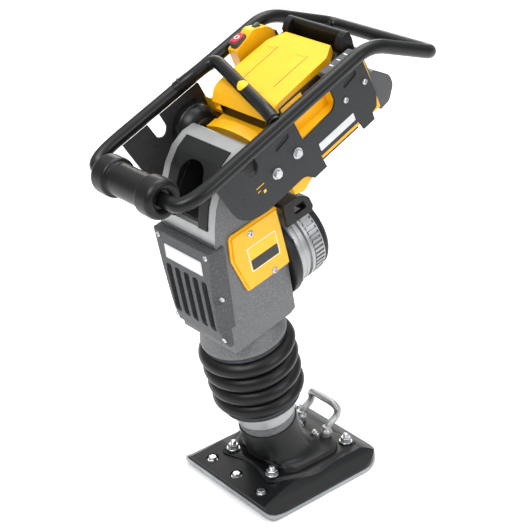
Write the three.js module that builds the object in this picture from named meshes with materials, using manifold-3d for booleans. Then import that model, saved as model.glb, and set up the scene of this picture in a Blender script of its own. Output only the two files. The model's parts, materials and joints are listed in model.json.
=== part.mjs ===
// Jumping jack rammer: an upright battery-driven soil rammer.
// Row frame, millimetres: the origin is the centre of the sole on the ground, +Z is up,
// -Y is the front (roller end), +Y is the rear (grip end), +X is the operator's left.
// Three frames are used. The shoe stands in the row frame. The leg, crankcase and motor lean forward in
// the mast frame, whose z runs up the leg axis. The handle,
// side plates and battery sit in the handle frame,
// whose y runs up along the side tubes.

import * as THREE from 'three';
import { mergeVertices } from 'three/addons/utils/BufferGeometryUtils.js';
import Module from 'manifold-3d';

const wasm = await Module();
wasm.setup();

// ---------------------------------------------------------------- driving dimensions

const GAP = 0.3;                 // clearance between touching pieces
const RUN = 0.8;                 // clearance around parts that turn or slide

const SHOE_WIDTH = 280;          // 11 inch shoe
const SHOE_FRONT = -168;
const SHOE_REAR = 158;
const SOLE_THICK = 9;

const MAST_LEAN = THREE.MathUtils.degToRad(15.5);
const MAST_Y = -18;              // where the leg axis meets the ground

const LEG_R = 58;                // leg tube, outside
const LEG_BORE = 50;
const LEG_TOP = 300;

const BELLOWS_BASE = 214;
const BELLOWS_TOP = 359.7;
const BELLOWS_R = 97;
const BELLOWS_NECK_R = 76;
const BELLOWS_FOLDS = 4;

const CASE_HALF = 80;            // crankcase half width
const CASE_BASE = 407;
const CASE_TOP = 786;

const MOTOR_Z = 505;             // motor axis height up the mast
const MOTOR_R = 87;
const CRANK_Z = 585;             // crank axis height up the mast
const CRANK_THROW = 18;
const PINION_TEETH = 8;
const GEAR_TEETH = 32;

const HANDLE_PITCH = THREE.MathUtils.degToRad(25.3);
const HANDLE_Y = -300;
const HANDLE_Z = 752;
const TUBE_R = 13;
const TUBE_X = 138;
const TUBE_BEND_Y = 400;         // where the side tubes turn down to the grip
const GRIP_Y = 536;
const GRIP_Z = -116;
const PLATE_X = 126;             // inner face of a side plate
const PLATE_THICK = 4;
const ROLLER_Y = -61;
const ROLLER_R = 30;
const ROLLER_FLANGE_R = 36.5;
const ROLLER_HALF = 86;
const ROLLER_CORE_HALF = 45;
const ROLLER_SEAT = 76;           // floor of the recess in each end drum
const TUBE_END_X = 80;

const ROUND = 24;                // sides on a medium round
const FINE = 36;                 // sides on a large round

// ---------------------------------------------------------------- colours and finishes

const FINISH = {
  steel: [0xb9bcbf, 0.35, 0.9],
  darkSteel: [0x55585b, 0.5, 0.8],
  castGrey: [0xb4b5b4, 0.55, 0.75],
  castSilver: [0xcfd0cf, 0.42, 0.8],
  blackPaint: [0x232426, 0.5, 0.2],
  plateGrey: [0x4a4b4c, 0.55, 0.25],
  plasticGrey: [0x58595b, 0.6, 0.0],
  plasticDark: [0x303133, 0.62, 0.0],
  rubber: [0x1b1c1e, 0.7, 0.0],
  yellow: [0xf7b916, 0.45, 0.0],
  red: [0xe01f26, 0.4, 0.0],
  smoke: [0x6f7173, 0.5, 0.0],
  copper: [0xb87333, 0.4, 0.7],
  bronze: [0xa9803c, 0.4, 0.8],
};

// ---------------------------------------------------------------- geometry helpers

function solidOf(geometry) {
  const bare = geometry.clone();
  bare.deleteAttribute('normal');
  bare.deleteAttribute('uv');
  const merged = mergeVertices(bare, 1e-3);
  const corners = merged.index.array;
  const triVerts = [];
  for (let i = 0; i < corners.length; i += 3) {
    const [a, b, c] = [corners[i], corners[i + 1], corners[i + 2]];
    if (a !== b && b !== c && c !== a) triVerts.push(a, b, c);
  }
  return new wasm.Manifold(new wasm.Mesh({
    numProp: 3,
    vertProperties: Float32Array.from(merged.attributes.position.array),
    triVerts: Uint32Array.from(triVerts),
  }));
}

function geometryOf(solid) {
  const mesh = solid.getMesh();
  const geometry = new THREE.BufferGeometry();
  geometry.setAttribute('position', new THREE.BufferAttribute(Float32Array.from(mesh.vertProperties), 3));
  geometry.setIndex(new THREE.BufferAttribute(Uint32Array.from(mesh.triVerts), 1));
  return geometry;
}

function join(base, ...others) {
  return geometryOf(others.reduce((sum, next) => sum.add(solidOf(next)), solidOf(base)));
}

function cut(base, ...tools) {
  return geometryOf(tools.reduce((rest, tool) => rest.subtract(solidOf(tool)), solidOf(base)));
}

function common(base, other) {
  return geometryOf(solidOf(base).intersect(solidOf(other)));
}

// A closed outline from corners [a, b] or [a, b, radius].
function outline(corners) {
  const shape = new THREE.Shape();
  const count = corners.length;
  corners.forEach(([a, b, radius = 0], i) => {
    const corner = new THREE.Vector2(a, b);
    const before = new THREE.Vector2(...corners[(i + count - 1) % count].slice(0, 2)).sub(corner);
    const after = new THREE.Vector2(...corners[(i + 1) % count].slice(0, 2)).sub(corner);
    const start = corner.clone().addScaledVector(before.normalize(), radius);
    const end = corner.clone().addScaledVector(after.normalize(), radius);
    if (i === 0) shape.moveTo(start.x, start.y);
    else shape.lineTo(start.x, start.y);
    if (radius > 0) shape.quadraticCurveTo(corner.x, corner.y, end.x, end.y);
  });
  shape.closePath();
  return shape;
}

function extruded(corners, depth, curveSegments = 4) {
  const shape = corners instanceof THREE.Shape ? corners : outline(corners);
  return new THREE.ExtrudeGeometry(shape, { depth, curveSegments, bevelEnabled: false });
}

// Outline in y and z, carried along x.
function alongX(corners, x0, x1, curveSegments) {
  const basis = new THREE.Matrix4().makeBasis(
    new THREE.Vector3(0, 1, 0), new THREE.Vector3(0, 0, 1), new THREE.Vector3(1, 0, 0));
  return extruded(corners, x1 - x0, curveSegments).applyMatrix4(basis).translate(x0, 0, 0);
}

// Outline in x and z, carried along y.
function alongY(corners, y0, y1, curveSegments) {
  const basis = new THREE.Matrix4().makeBasis(
    new THREE.Vector3(1, 0, 0), new THREE.Vector3(0, 0, 1), new THREE.Vector3(0, -1, 0));
  return extruded(corners, y1 - y0, curveSegments).applyMatrix4(basis).translate(0, y1, 0);
}

// Outline in x and y, carried along z.
function alongZ(corners, z0, z1, curveSegments) {
  return extruded(corners, z1 - z0, curveSegments).translate(0, 0, z0);
}

function block(x0, x1, y0, y1, z0, z1) {
  return new THREE.BoxGeometry(x1 - x0, y1 - y0, z1 - z0)
    .translate((x0 + x1) / 2, (y0 + y1) / 2, (z0 + z1) / 2);
}

// A profile of [radius, height] turned around the z axis.
function turned(profile, sides = FINE) {
  const points = profile.map(([radius, height]) => new THREE.Vector2(radius, height));
  return new THREE.LatheGeometry(points, sides).rotateX(Math.PI / 2);
}

function rod(radius, z0, z1, sides = ROUND) {
  return turned([[0, z0], [radius, z0], [radius, z1], [0, z1]], sides);
}

function ring(inner, outer, z0, z1, sides = FINE) {
  return turned([[inner, z0], [outer, z0], [outer, z1], [inner, z1], [inner, z0]], sides);
}

const toX = (geometry) => geometry.rotateY(Math.PI / 2);
const toY = (geometry) => geometry.rotateX(-Math.PI / 2);

// A round bar of the given radius through the given stations.
function swept(stations, radius, sides) {
  const section = new THREE.Shape();
  for (let i = 0; i < sides; i += 1) {
    const angle = (i / sides) * 2 * Math.PI;
    const place = [radius * Math.cos(angle), radius * Math.sin(angle)];
    if (i === 0) section.moveTo(...place);
    else section.lineTo(...place);
  }
  section.closePath();
  const last = stations.length - 1;
  const route = new THREE.Curve();
  route.getPointAt = (t) => stations[Math.round(t * last)].clone();
  route.getPoint = route.getPointAt;
  route.getTangentAt = (t) => {
    const i = Math.round(t * last);
    const next = stations[Math.min(i + 1, last)];
    return next.clone().sub(stations[Math.max(i - 1, 0)]).normalize();
  };
  return new THREE.ExtrudeGeometry(section, { steps: last, extrudePath: route, bevelEnabled: false });
}

// Straight runs joined by round bends: corners [x, y, z, reach of the bend before it, and after it].
function bentRoute(corners, bendSteps) {
  const at = corners.map((corner) => new THREE.Vector3(corner[0], corner[1], corner[2]));
  const stations = [at[0]];
  for (let i = 1; i < corners.length - 1; i += 1) {
    const back = at[i - 1].clone().sub(at[i]).normalize();
    const on = at[i + 1].clone().sub(at[i]).normalize();
    const [reachIn, reachOut = reachIn] = corners[i].slice(3);
    const start = at[i].clone().addScaledVector(back, reachIn);
    const end = at[i].clone().addScaledVector(on, reachOut);
    stations.push(...new THREE.QuadraticBezierCurve3(start, at[i], end).getPoints(bendSteps));
  }
  return [...stations, at[at.length - 1]];
}

const bent = (corners, radius, sides = 10, bendSteps = 5) => swept(bentRoute(corners, bendSteps), radius,
    sides);

function mesh(name, geometry, finish) {
  const [color, roughness, metalness] = FINISH[finish];
  const piece = new THREE.Mesh(geometry, new THREE.MeshStandardMaterial({ color, roughness, metalness }));
  piece.name = name;
  return piece;
}


// ---------------------------------------------------------------- frames

const rammer = new THREE.Group();
rammer.name = 'jumping_jack_rammer';

const mast = new THREE.Group();
mast.position.set(0, MAST_Y, 0);
mast.rotation.x = MAST_LEAN;

const handle = new THREE.Group();
handle.position.set(0, HANDLE_Y, HANDLE_Z);
handle.rotation.x = HANDLE_PITCH;

rammer.add(mast, handle);

const leaning = (geometry) => geometry.rotateX(MAST_LEAN).translate(0, MAST_Y, 0);

// ---------------------------------------------------------------- shoe

const SHOE_PLAN = [[-140, SHOE_FRONT, 14], [140, SHOE_FRONT, 14], [140, 112, 20], [112, SHOE_REAR, 24],
  [-112, SHOE_REAR, 24], [-140, 112, 20]];

// Height of the sole's underside: flat, with the toe bent up and a slight rise at the heel.
function soleHeight(y) {
  const toe = Math.max(0, -112 - y);
  const heel = Math.max(0, y - 118);
  return toe * toe * 0.0032 + heel * heel * 0.003;
}

const soleStations = [SHOE_FRONT, -154, -140, -126, -112, 118, 134, 148, SHOE_REAR];

function solePlate() {
  const under = soleStations.map((y) => [y, soleHeight(y)]);
  const over = soleStations.map((y) => [y, soleHeight(y) + SOLE_THICK]).reverse();
  const slab = alongX([...under, ...over], -SHOE_WIDTH / 2, SHOE_WIDTH / 2);
  return common(slab, alongZ(SHOE_PLAN, -1, 60, 5));
}

const BOSSES = [[-61, -96], [61, -96], [-75, 99], [75, 99]];
const TOE_BOLTS = [-77, 0, 77];
const TOE_BOLT_Y = -139;
const DECK_Z = 40;               // top of the shoe body
const BOSS_Z = 45;

function shoeBody() {
  const under = soleStations.map((y) => [y, soleHeight(y) + SOLE_THICK + GAP]);
  const side = [...under, [SHOE_REAR, 19], [128, DECK_Z - 6, 6], [112, DECK_Z, 6], [-92, DECK_Z, 6],
    [SHOE_FRONT, 27]];
  const front = [[-138, 0], [138, 0], [138, 14], [112, 30, 8], [96, 60], [-96, 60], [-112, 30, 8], [-138,
      14]];
  const bulk = common(alongX(side, -SHOE_WIDTH / 2, SHOE_WIDTH / 2), alongY(front, -200, 200));
  const trimmed = common(bulk, alongZ(SHOE_PLAN.map(([x, y, r]) => [x * 0.985, y * 0.985, r]), -1, 80, 5));
  const bosses = BOSSES.map(([x, y]) => rod(16, 24, BOSS_Z, 16).translate(x, y, 0));
  const pockets = TOE_BOLTS.map((x) => rod(13, 26, 60, 16).translate(x, TOE_BOLT_Y, 0));
  return cut(join(trimmed, ...bosses), ...pockets);
}

function shoeNut() {
  const hex = rod(11.5, 0, 11, 6);
  return join(hex, rod(6, 10, 19, 12));
}

function footCasting() {
  const flange = alongZ([[-92, -88, 30], [92, -88, 30], [92, 92, 30], [-92, 92, 30]], DECK_Z + GAP, 54, 5);
  const cone = leaning(turned([[0, 0], [104, 0], [90, 52], [74, 78], [69, 116], [0, 116]], 32));
  const bulk = join(flange, cone);
  const above = block(-160, 160, -200, 200, DECK_Z + GAP, 260);
  const socket = leaning(rod(LEG_R + GAP, 71.7, 200, 32));
  const bosses = BOSSES.map(([x, y]) => rod(16 + GAP, 20, BOSS_Z + 24, 16).translate(x, y, 0));
  const seats = [-40, 40].map((x) => rod(13 + GAP, 54, 200, 14).translate(x, 74, 0));
  return cut(common(bulk, above), socket, ...bosses, ...seats);
}

function footHandle() {
  const rise = [[74, 60], [80, 76, 10], [112, 92, 18], [101, 118, 18]];
  const half = (side) => rise.map(([y, z, reach]) => [side * 40, y, z, reach]);
  const loop = bent([...half(-1), ...half(1).reverse()], 7.5, 8, 3);
  const feet = [-40, 40].map((x) => rod(13, 54 + GAP, 70, 14).translate(x, 74, 0));
  return join(loop, ...feet);
}

const shoe = [
  mesh('sole_plate', solePlate(), 'steel'),
  mesh('shoe_body', shoeBody(), 'blackPaint'),
  mesh('foot_casting', footCasting(), 'blackPaint'),
  mesh('foot_handle', footHandle(), 'castGrey'),
];
['front_right', 'front_left', 'rear_right', 'rear_left'].forEach((place, i) => {
  const nut = mesh(`shoe_nut_${place}`, shoeNut(), 'steel');
  nut.position.set(BOSSES[i][0], BOSSES[i][1], BOSS_Z + GAP);
  shoe.push(nut);
});
['right', 'middle', 'left'].forEach((place, i) => {
  const bolt = mesh(`toe_bolt_${place}`, rod(9, 0, 9, 6), 'steel');
  bolt.position.set(TOE_BOLTS[i], TOE_BOLT_Y, 26 + GAP);
  shoe.push(bolt);
});
rammer.add(...shoe);

// ---------------------------------------------------------------- leg

const PISTON_Z = 196;

function helix(radius, z0, z1, turns) {
  const count = Math.round(turns * 9);
  return Array.from({ length: count + 1 }, (_, i) => {
    const angle = (i / count) * turns * 2 * Math.PI;
    return new THREE.Vector3(radius * Math.cos(angle), radius * Math.sin(angle),
        z0 + (z1 - z0) * (i / count));
  });
}

function bellowsProfile() {
  const fold = (BELLOWS_TOP - BELLOWS_BASE) / BELLOWS_FOLDS;
  const profile = [];
  for (let i = 0; i < BELLOWS_FOLDS; i += 1) {
    const low = BELLOWS_BASE + i * fold;
    const lip = BELLOWS_R - (BELLOWS_FOLDS - 1 - i);
    profile.push([BELLOWS_NECK_R, low], [lip, low + fold * 0.38], [lip, low + fold * 0.62]);
  }
  const inside = BELLOWS_NECK_R - 7;
  return [...profile, [BELLOWS_NECK_R, BELLOWS_TOP], [inside, BELLOWS_TOP], [inside, BELLOWS_BASE],
      profile[0]];
}

mast.add(
  mesh('leg_tube', turned([[0, 72], [LEG_R, 72], [LEG_R, LEG_TOP], [LEG_BORE, LEG_TOP], [LEG_BORE, 84],
      [0, 84]]),
    'castGrey'),
  mesh('leg_collar', ring(LEG_R + GAP, 62, 160, 186), 'castSilver'),
  mesh('gland_cap', turned([[13 + RUN, 286], [LEG_BORE - GAP, 286], [LEG_BORE - GAP, LEG_TOP],
    [13 + RUN, LEG_TOP], [13 + RUN, 286]], ROUND), 'bronze'),
  mesh('ram_spring_lower', swept(helix(36, 91, 188, 4), 5, 5), 'darkSteel'),
  mesh('ram_spring_upper', swept(helix(36, 215, 279, 3), 5, 5), 'darkSteel'),
  mesh('ram_rod', turned([[0, PISTON_Z], [LEG_BORE - RUN, PISTON_Z], [LEG_BORE - RUN, 208], [13, 208],
    [13, 310], [0, 310]], ROUND), 'steel'),
  mesh('bellows', turned(bellowsProfile()), 'rubber'),
  mesh('bellows_clamp_lower', ring(LEG_R + GAP, 82, 204, BELLOWS_BASE - GAP), 'darkSteel'),
);

// ---------------------------------------------------------------- crankcase

const HEAD_FRONT = [[-58, 648], [-49, 680], [-37, 710], [-13, 747], [10, 770], [38, 783]];
const CASE_SIDE = [[-76, CASE_BASE], ...HEAD_FRONT, [70, CASE_TOP, 10], [84, 690, 10], [86, 520],
  [79, 413], [66, CASE_BASE]];
const WALL = 9;

function inset(corners, amount, centre) {
  return corners.map(([a, b]) => {
    const reach = Math.hypot(a - centre[0], b - centre[1]);
    const keep = (reach - amount) / reach;
    return [centre[0] + (a - centre[0]) * keep, centre[1] + (b - centre[1]) * keep];
  });
}

// Arched recess of the head, seen from the front: half width 36, round top.
const ARCH_HALF = 35;
const ARCH_TOP = 766;
const ARCH = [[-ARCH_HALF, 640, 2], [ARCH_HALF, 640, 2], [ARCH_HALF, ARCH_TOP, 34], [-ARCH_HALF,
    ARCH_TOP, 34]];
const PANEL_HALF = 61;
const PANEL_FRONT = [[-53, 668], [-49, 680], [-37, 710], [-13, 747], [10, 770], [36, 782]];
const PANEL_DEPTH = 9;

function panelStrip(extra) {
  const back = PANEL_FRONT.map(([y, z]) => [y + PANEL_DEPTH + extra,
      z - (z > 740 ? PANEL_DEPTH + extra : 0)]);
  const front = PANEL_FRONT.map(([y, z]) => [y - 2, z + (z > 740 ? 2 : 0)]);
  front[0] = [front[0][0], front[0][1] - extra];
  back[0] = [back[0][0], back[0][1] - extra];
  return [...front, ...back.reverse()];
}

function crankcase() {
  const shell = alongX(CASE_SIDE, -CASE_HALF, CASE_HALF);
  const taper = alongY([[-77, 400], [77, 400], [CASE_HALF, 560], [CASE_HALF, 800], [-CASE_HALF, 800],
    [-CASE_HALF, 560]], -200, 200);
  const chamber = alongX([[-60, CASE_BASE + WALL], [-48, 630], [-20, 655], [70, 668], [74, 520], [62, 420]],
    -CASE_HALF + WALL, CASE_HALF - WALL);
  const legBore = rod(66 + GAP, CASE_BASE - 20, CASE_BASE + 60, FINE);
  const motorBore = toY(rod(52, 40, 120)).translate(0, 0, MOTOR_Z);
  const crankBore = toY(rod(11 + RUN, 60, 80)).translate(0, 0, CRANK_Z);
  const frontPort = block(-50, 50, -100, 0, 460, 610);
  const panelSeat = alongX(panelStrip(GAP), -PANEL_HALF - GAP, PANEL_HALF + GAP);
  const archPocket = common(alongY(ARCH, -100, 60, 6),
    alongX([[-80, 672], [2, 676], [30, 700], [46, 735], [46, 790], [-80, 790]], -60, 60));
  return cut(common(shell, taper), chamber, legBore, motorBore, crankBore, frontPort, panelSeat,
      archPocket);
}

function headInsert() {
  const strip = alongX(panelStrip(0), -PANEL_HALF, PANEL_HALF);
  return cut(strip, alongY(ARCH, -200, 200, 6));
}

// Front cover: a faceted shell that wraps the front of the crankcase.
const COVER_BASE = 428;
const COVER_TOP = 640;

const VENTS = [-52, -26, 0, 26, 52];
const VENT_HALF = 8;
const VENT_LOW = 462;
const VENT_HIGH = 572;
const SCOOP_R = 15;              // rounded hollow around each middle screw
const SCOOP_X = 84;
const SCOOP_Y = -88;
const SCOOP_Z = 537;

function frontCover() {
  const face = [[-84, COVER_BASE, 4], [-92, 470, 10], [-86, 560, 14], [-76, COVER_TOP, 5], [-44, COVER_TOP],
    [-54, 545], [-66, COVER_BASE]];
  const widths = [[-79, COVER_BASE, 6], [79, COVER_BASE, 6], [86, COVER_TOP, 8], [-86, COVER_TOP, 8]];
  const plan = [[-88, -40], [-88, -68, 8], [-64, -94, 8], [64, -94, 8], [88, -68, 8], [88, -40]];
  const outer = common(common(alongX(face, -90, 90), alongY(widths, -120, 0)), alongZ(plan, 400, 660));
  const behind = alongX([[-77.2, CASE_BASE - 10], [-57.5, 660], [40, 660], [40, CASE_BASE - 10]],
    -CASE_HALF - GAP, CASE_HALF + GAP);
  const hollow = alongX([[-72, COVER_BASE + 10], [-78, 470], [-73, 560], [-64, COVER_TOP - 12], [-40,
      COVER_TOP - 12],
    [-50, COVER_BASE + 10]], -62, 62);
  const slots = VENTS.map((x) => alongY([[x - VENT_HALF, VENT_LOW, 7], [x + VENT_HALF, VENT_LOW, 7],
    [x + VENT_HALF, VENT_HIGH, 7], [x - VENT_HALF, VENT_HIGH, 7]], -130, -70));
  const scoops = [-1, 1].map((side) => new THREE.SphereGeometry(SCOOP_R, 20, 14)
    .translate(side * SCOOP_X, SCOOP_Y, SCOOP_Z));
  return cut(outer, behind, hollow, ...slots, ...scoops);
}

// Side cover: a shallow faceted lid, outline in y and z.
const SIDE_COVER = [[-19, 520, 6], [86, 520, 6], [84, 648, 4], [-30, 648, 8], [-38, 600, 6]];

const COVER_X = CASE_HALF + GAP;

function sideCover(side) {
  const [base, lid] = side > 0 ? [[COVER_X, COVER_X + 4], [COVER_X + 3.9, COVER_X + 8]]
    : [[-COVER_X - 4, -COVER_X], [-COVER_X - 8, -COVER_X - 3.9]];
  return join(alongX(SIDE_COVER, ...base), alongX(inset(SIDE_COVER, 6, [35, 585]), ...lid));
}

function motorHousing() {
  const body = toY(turned([[66, 110], [MOTOR_R - 2, 110], [MOTOR_R, 114], [MOTOR_R, 131], [MOTOR_R - 5,
      133],
    [MOTOR_R - 5, 137], [MOTOR_R, 139], [MOTOR_R, 172], [66, 172], [66, 110]])).translate(0, 0, MOTOR_Z);
  const notches = [];
  for (let i = 0; i < 24; i += 1) {
    const angle = (i / 24) * 2 * Math.PI;
    notches.push(block(-2.2, 2.2, 148, 180, 82, 92).rotateY(angle).translate(0, 0, MOTOR_Z));
  }
  return cut(body, ...notches);
}

const atMotor = (geometry) => toY(geometry).translate(0, 0, MOTOR_Z);

mast.add(
  mesh('crankcase', crankcase(), 'castGrey'),
  mesh('front_cover', frontCover(), 'plasticGrey'),
  mesh('head_insert', headInsert(), 'plasticDark'),
  mesh('side_cover_left', sideCover(1), 'yellow'),
  mesh('side_cover_right', sideCover(-1), 'yellow'),
  mesh('case_neck', turned([[66 + GAP, 372], [86, 372], [86, 378], [74, CASE_BASE - GAP], [66 + GAP,
      CASE_BASE - GAP],
    [66 + GAP, 372]]), 'castSilver'),
  mesh('bellows_clamp_upper', ring(66 + GAP, 82, 360, 371.7), 'darkSteel'),
  mesh('guide_sleeve', ring(LEG_R + RUN, 66, 252, CASE_BASE + 40), 'steel'),
  mesh('motor_flange', atMotor(ring(64, 95, 86.6, 109.7)), 'plasticDark'),
  mesh('motor_housing', motorHousing(), 'castSilver'),
  mesh('motor_end_cap', atMotor(turned([[0, 172.3], [84, 172.3], [84, 182], [76, 193], [0, 193]])),
      'plasticDark'),
  mesh('motor_stator', atMotor(ring(46, 65.7, 112, 168, ROUND)), 'copper'),
  mesh('motor_bearing', atMotor(ring(10 + RUN, 51.7, 74.5, 84, ROUND)), 'steel'),
);

function cableGuard() {
  const side = [[88, 603], [150, 603], [156, 612, 4], [150, 636, 6], [128, 650, 6], [90, 650]];
  const shell = alongX(side, 22, 100);
  const slot = alongX([[112, 618, 3], [140, 618, 3], [136, 634, 3], [112, 634, 3]], 92, 104);
  const duct = alongX([[80, 596], [143, 596], [144, 628], [124, 641], [80, 641]], 29, 93);
  return cut(shell, slot, duct);
}

mast.add(mesh('cable_guard', cableGuard(), 'plasticDark'));

// ---------------------------------------------------------------- drive train

function gear(teeth, root, tip, y0, y1, phase) {
  const corners = [];
  for (let i = 0; i < teeth; i += 1) {
    const pitch = (2 * Math.PI) / teeth;
    [[-0.27, root], [-0.12, tip], [0.12, tip], [0.27, root]].forEach(([share, radius]) => {
      const angle = (i + share) * pitch + phase;
      corners.push([radius * Math.cos(angle), radius * Math.sin(angle)]);
    });
  }
  return alongY(corners, y0, y1);
}

const GEAR_SPACING = CRANK_Z - MOTOR_Z;
const MODULE_SIZE = (2 * GEAR_SPACING) / (PINION_TEETH + GEAR_TEETH);
const PINION_R = (MODULE_SIZE * PINION_TEETH) / 2;
const GEAR_R = (MODULE_SIZE * GEAR_TEETH) / 2;

function driveGear() {
  const wheel = gear(GEAR_TEETH, GEAR_R - 3, GEAR_R + 2.2, 40, 54, 0).translate(0, 0, CRANK_Z);
  const boss = toY(rod(15, 52, 60, ROUND)).translate(0, 0, CRANK_Z);
  const shaft = toY(rod(11, 58, 79, ROUND)).translate(0, 0, CRANK_Z);
  const pin = toY(rod(9, -13, 42, ROUND)).translate(0, 0, CRANK_Z + CRANK_THROW);
  return join(wheel, boss, shaft, pin);
}

function motorShaft() {
  const pinion = gear(PINION_TEETH, PINION_R - 3, PINION_R + 2.2, 40, 56, Math.PI / PINION_TEETH)
    .translate(0, 0, MOTOR_Z);
  return join(pinion, atMotor(rod(10, 55, 171, ROUND)), atMotor(rod(45, 114, 166, ROUND)));
}

const WRIST_Z = 402;

function connectingRod() {
  const bigEnd = toY(rod(17, -9, 9, ROUND)).translate(0, 0, CRANK_Z + CRANK_THROW);
  const smallEnd = toY(rod(13, -9, 9, ROUND)).translate(0, 0, WRIST_Z);
  const shank = block(-7, 7, -5, 5, WRIST_Z + 4, CRANK_Z + CRANK_THROW - 4);
  const bigBore = toY(rod(9 + RUN, -20, 20, ROUND)).translate(0, 0, CRANK_Z + CRANK_THROW);
  const smallBore = toY(rod(7, -20, 20, ROUND)).translate(0, 0, WRIST_Z);
  return cut(join(bigEnd, smallEnd, shank), bigBore, smallBore);
}

mast.add(
  mesh('crank_gear', driveGear(), 'darkSteel'),
  mesh('motor_rotor', motorShaft(), 'steel'),
  mesh('connecting_rod', connectingRod(), 'castGrey'),
  mesh('wrist_pin', toY(rod(7 - GAP, -15, 15, 16)).translate(0, 0, WRIST_Z), 'steel'),
);

// ---------------------------------------------------------------- handle frame

function frameTube(side) {
  return bent([[side * TUBE_END_X, ROLLER_Y, 0], [side * TUBE_X, ROLLER_Y + 1, 0, 31, 74],
    [side * TUBE_X, TUBE_BEND_Y, 0, 34, 42], [side * TUBE_X, GRIP_Y, GRIP_Z, 30, 30],
    [side * 92, GRIP_Y, GRIP_Z]], TUBE_R);
}

// The lifting bar crosses on the slant: from beside the right tube forward to the left tube.
function liftingBar() {
  return bent([[-112, 204, 15], [-113, 244, 15, 24, 24], [119, 171, 12]], TUBE_R - 0.5);
}

const PLATE_TOP = -10.8;
const PLATE = [[8, PLATE_TOP], [19, -78], [27, -104, 8], [44, -120, 10], [76, -132, 14], [182, -131, 10],
  [198, -150], [231, -150], [228, -122], [330, -122], [334, -144], [364, -144], [364, -128], [377, -124, 3],
  [386, -100, 3], [380, -24], [362, PLATE_TOP]];
const PLATE_NOTCHES = [
  [[67, 4], [99, 4], [104, -42, 8], [90, -55, 8], [76, -46, 4]],
  [[198, 4], [293, 4], [296, -50, 7], [284, -62, 7], [205, -67, 4]],
];
const PLATE_SLOTS = [[163, -38], [340, -34]];
const MOUNT_BOLT = [130, -82];
const DOME = [150, -72];         // centre of a rubber mount

function sidePlate(side) {
  const x0 = side > 0 ? PLATE_X : -PLATE_X - PLATE_THICK;
  const x1 = x0 + PLATE_THICK;
  const sheet = alongX(PLATE, x0, x1);
  const notches = PLATE_NOTCHES.map((corners) => alongX(corners, x0 - 5, x1 + 5));
  const slots = PLATE_SLOTS.map(([y, z]) => alongX([[y - 19, z - 8, 5], [y + 17, z - 2, 5], [y + 19,
      z + 8, 5],
    [y - 17, z + 2, 5]], x0 - 5, x1 + 5));
  const hole = toX(rod(5.5, x0 - 5, x1 + 5, 12)).translate(0, ...MOUNT_BOLT);
  return cut(sheet, ...notches, ...slots, hole);
}

// A hex-headed bolt through a side plate: head outside, shank inwards.
function plateBolt(side, shank) {
  const head = rod(8, PLATE_X + PLATE_THICK + GAP, PLATE_X + PLATE_THICK + 7, 6);
  const stem = rod(5, PLATE_X - shank, PLATE_X + PLATE_THICK + GAP + 1, 12);
  const bolt = toX(join(head, stem));
  return side > 0 ? bolt : bolt.rotateZ(Math.PI);
}

// Rubber mount: a dome on the inside of a side plate, its narrow end against the crankcase head.
function rubberMount(side) {
  const profile = [[0, CASE_HALF + GAP + 0.2], [22, CASE_HALF + GAP + 0.2], [34, 88], [42, 100], [45, 116],
    [45, PLATE_X - GAP], [0, PLATE_X - GAP]].map(([radius, out]) => [radius, side * out]);
  const dome = toX(turned(side > 0 ? profile : profile.reverse(), 22)).translate(0, ...DOME);
  const hole = toX(rod(6, -PLATE_X - 10, PLATE_X + 10, 14)).translate(0, ...MOUNT_BOLT);
  return cut(dome, hole);
}

const HOUSING = [[152, -18], [150, -150], [170, -160, 6], [196, -149], [232, -132], [330, -132], [389,
    -134, 4],
  [392, -70], [386, -18]];
const HOUSING_HALF = PLATE_X - GAP;
const BAY_FLOOR = -64;
const CONTROL_X0 = -124.4;
const CONTROL_X1 = -99;
const BAY_HALF = 103;
const HAND_SILL = -42;           // the bay wall is lower here, behind each hand hold

function innerHousing() {
  const outer = alongX(HOUSING, -HOUSING_HALF, HOUSING_HALF);
  const bay = block(-BAY_HALF, BAY_HALF, 174, 420, BAY_FLOOR, 20);
  const frontGap = alongY([[-92, 20], [-92, -66], [-70, -58, 16], [-30, -47, 26], [30, -47, 26], [70,
      -58, 16],
    [92, -66], [92, 20]], 100, 175);
  const well = alongX([[162, -72], [162, -140], [196, -142], [230, -126], [420, -126], [420, -72]],
    -HOUSING_HALF + 7, HOUSING_HALF - 7);
  const handPockets = [-1, 1].map((side) => block(side > 0 ? 108 : -130, side > 0 ? 130 : -108, 200, 294,
      -62, -22));
  const handGaps = [-1, 1].map((side) => block(side > 0 ? BAY_HALF - 1 : -130,
      side > 0 ? 130 : 1 - BAY_HALF,
    100, 294, HAND_SILL, 20));
  const frontCorners = [-1, 1].map((side) => block(side > 0 ? 76 : -130, side > 0 ? 130 : -76, 100, 199,
      -124, 20));
  const boxSeat = block(-130, CONTROL_X1 + GAP, 284 - GAP, 378 + GAP, -44 - GAP, 20);
  return cut(outer, bay, frontGap, well, ...handPockets, ...handGaps, ...frontCorners, boxSeat);
}

function rearCover() {
  const skin = [[393, -65], [406, -66, 5], [437, -100, 8], [438, -122, 8], [418, -146, 8], [393, -148]];
  const inside = [[380, -70], [404, -71], [430, -103], [431, -119], [414, -139], [380, -140]];
  return cut(alongX(skin, -118, 118), alongX(inside, -113, 113));
}

const CONTROL_BOX = [[284, -44], [284, 6, 5], [322, 14, 5], [334, 20, 6], [368, 5, 7], [378, -8, 5],
    [378, -44]];

function controlBox() {
  const body = alongX(CONTROL_BOX, CONTROL_X0, CONTROL_X1);
  const stopWell = block(-121, -103, 290, 320, 3, 40);
  const startWell = block(-118, -106, 345, 361, -4, 40);
  return cut(body, stopWell, startWell);
}

function roundedBlock(x0, x1, y0, y1, z0, z1, radius) {
  return alongZ([[x0, y0, radius], [x1, y0, radius], [x1, y1, radius], [x0, y1, radius]], z0, z1, 3);
}

const BATTERY_BASE_Z = BAY_FLOOR + GAP;

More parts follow.
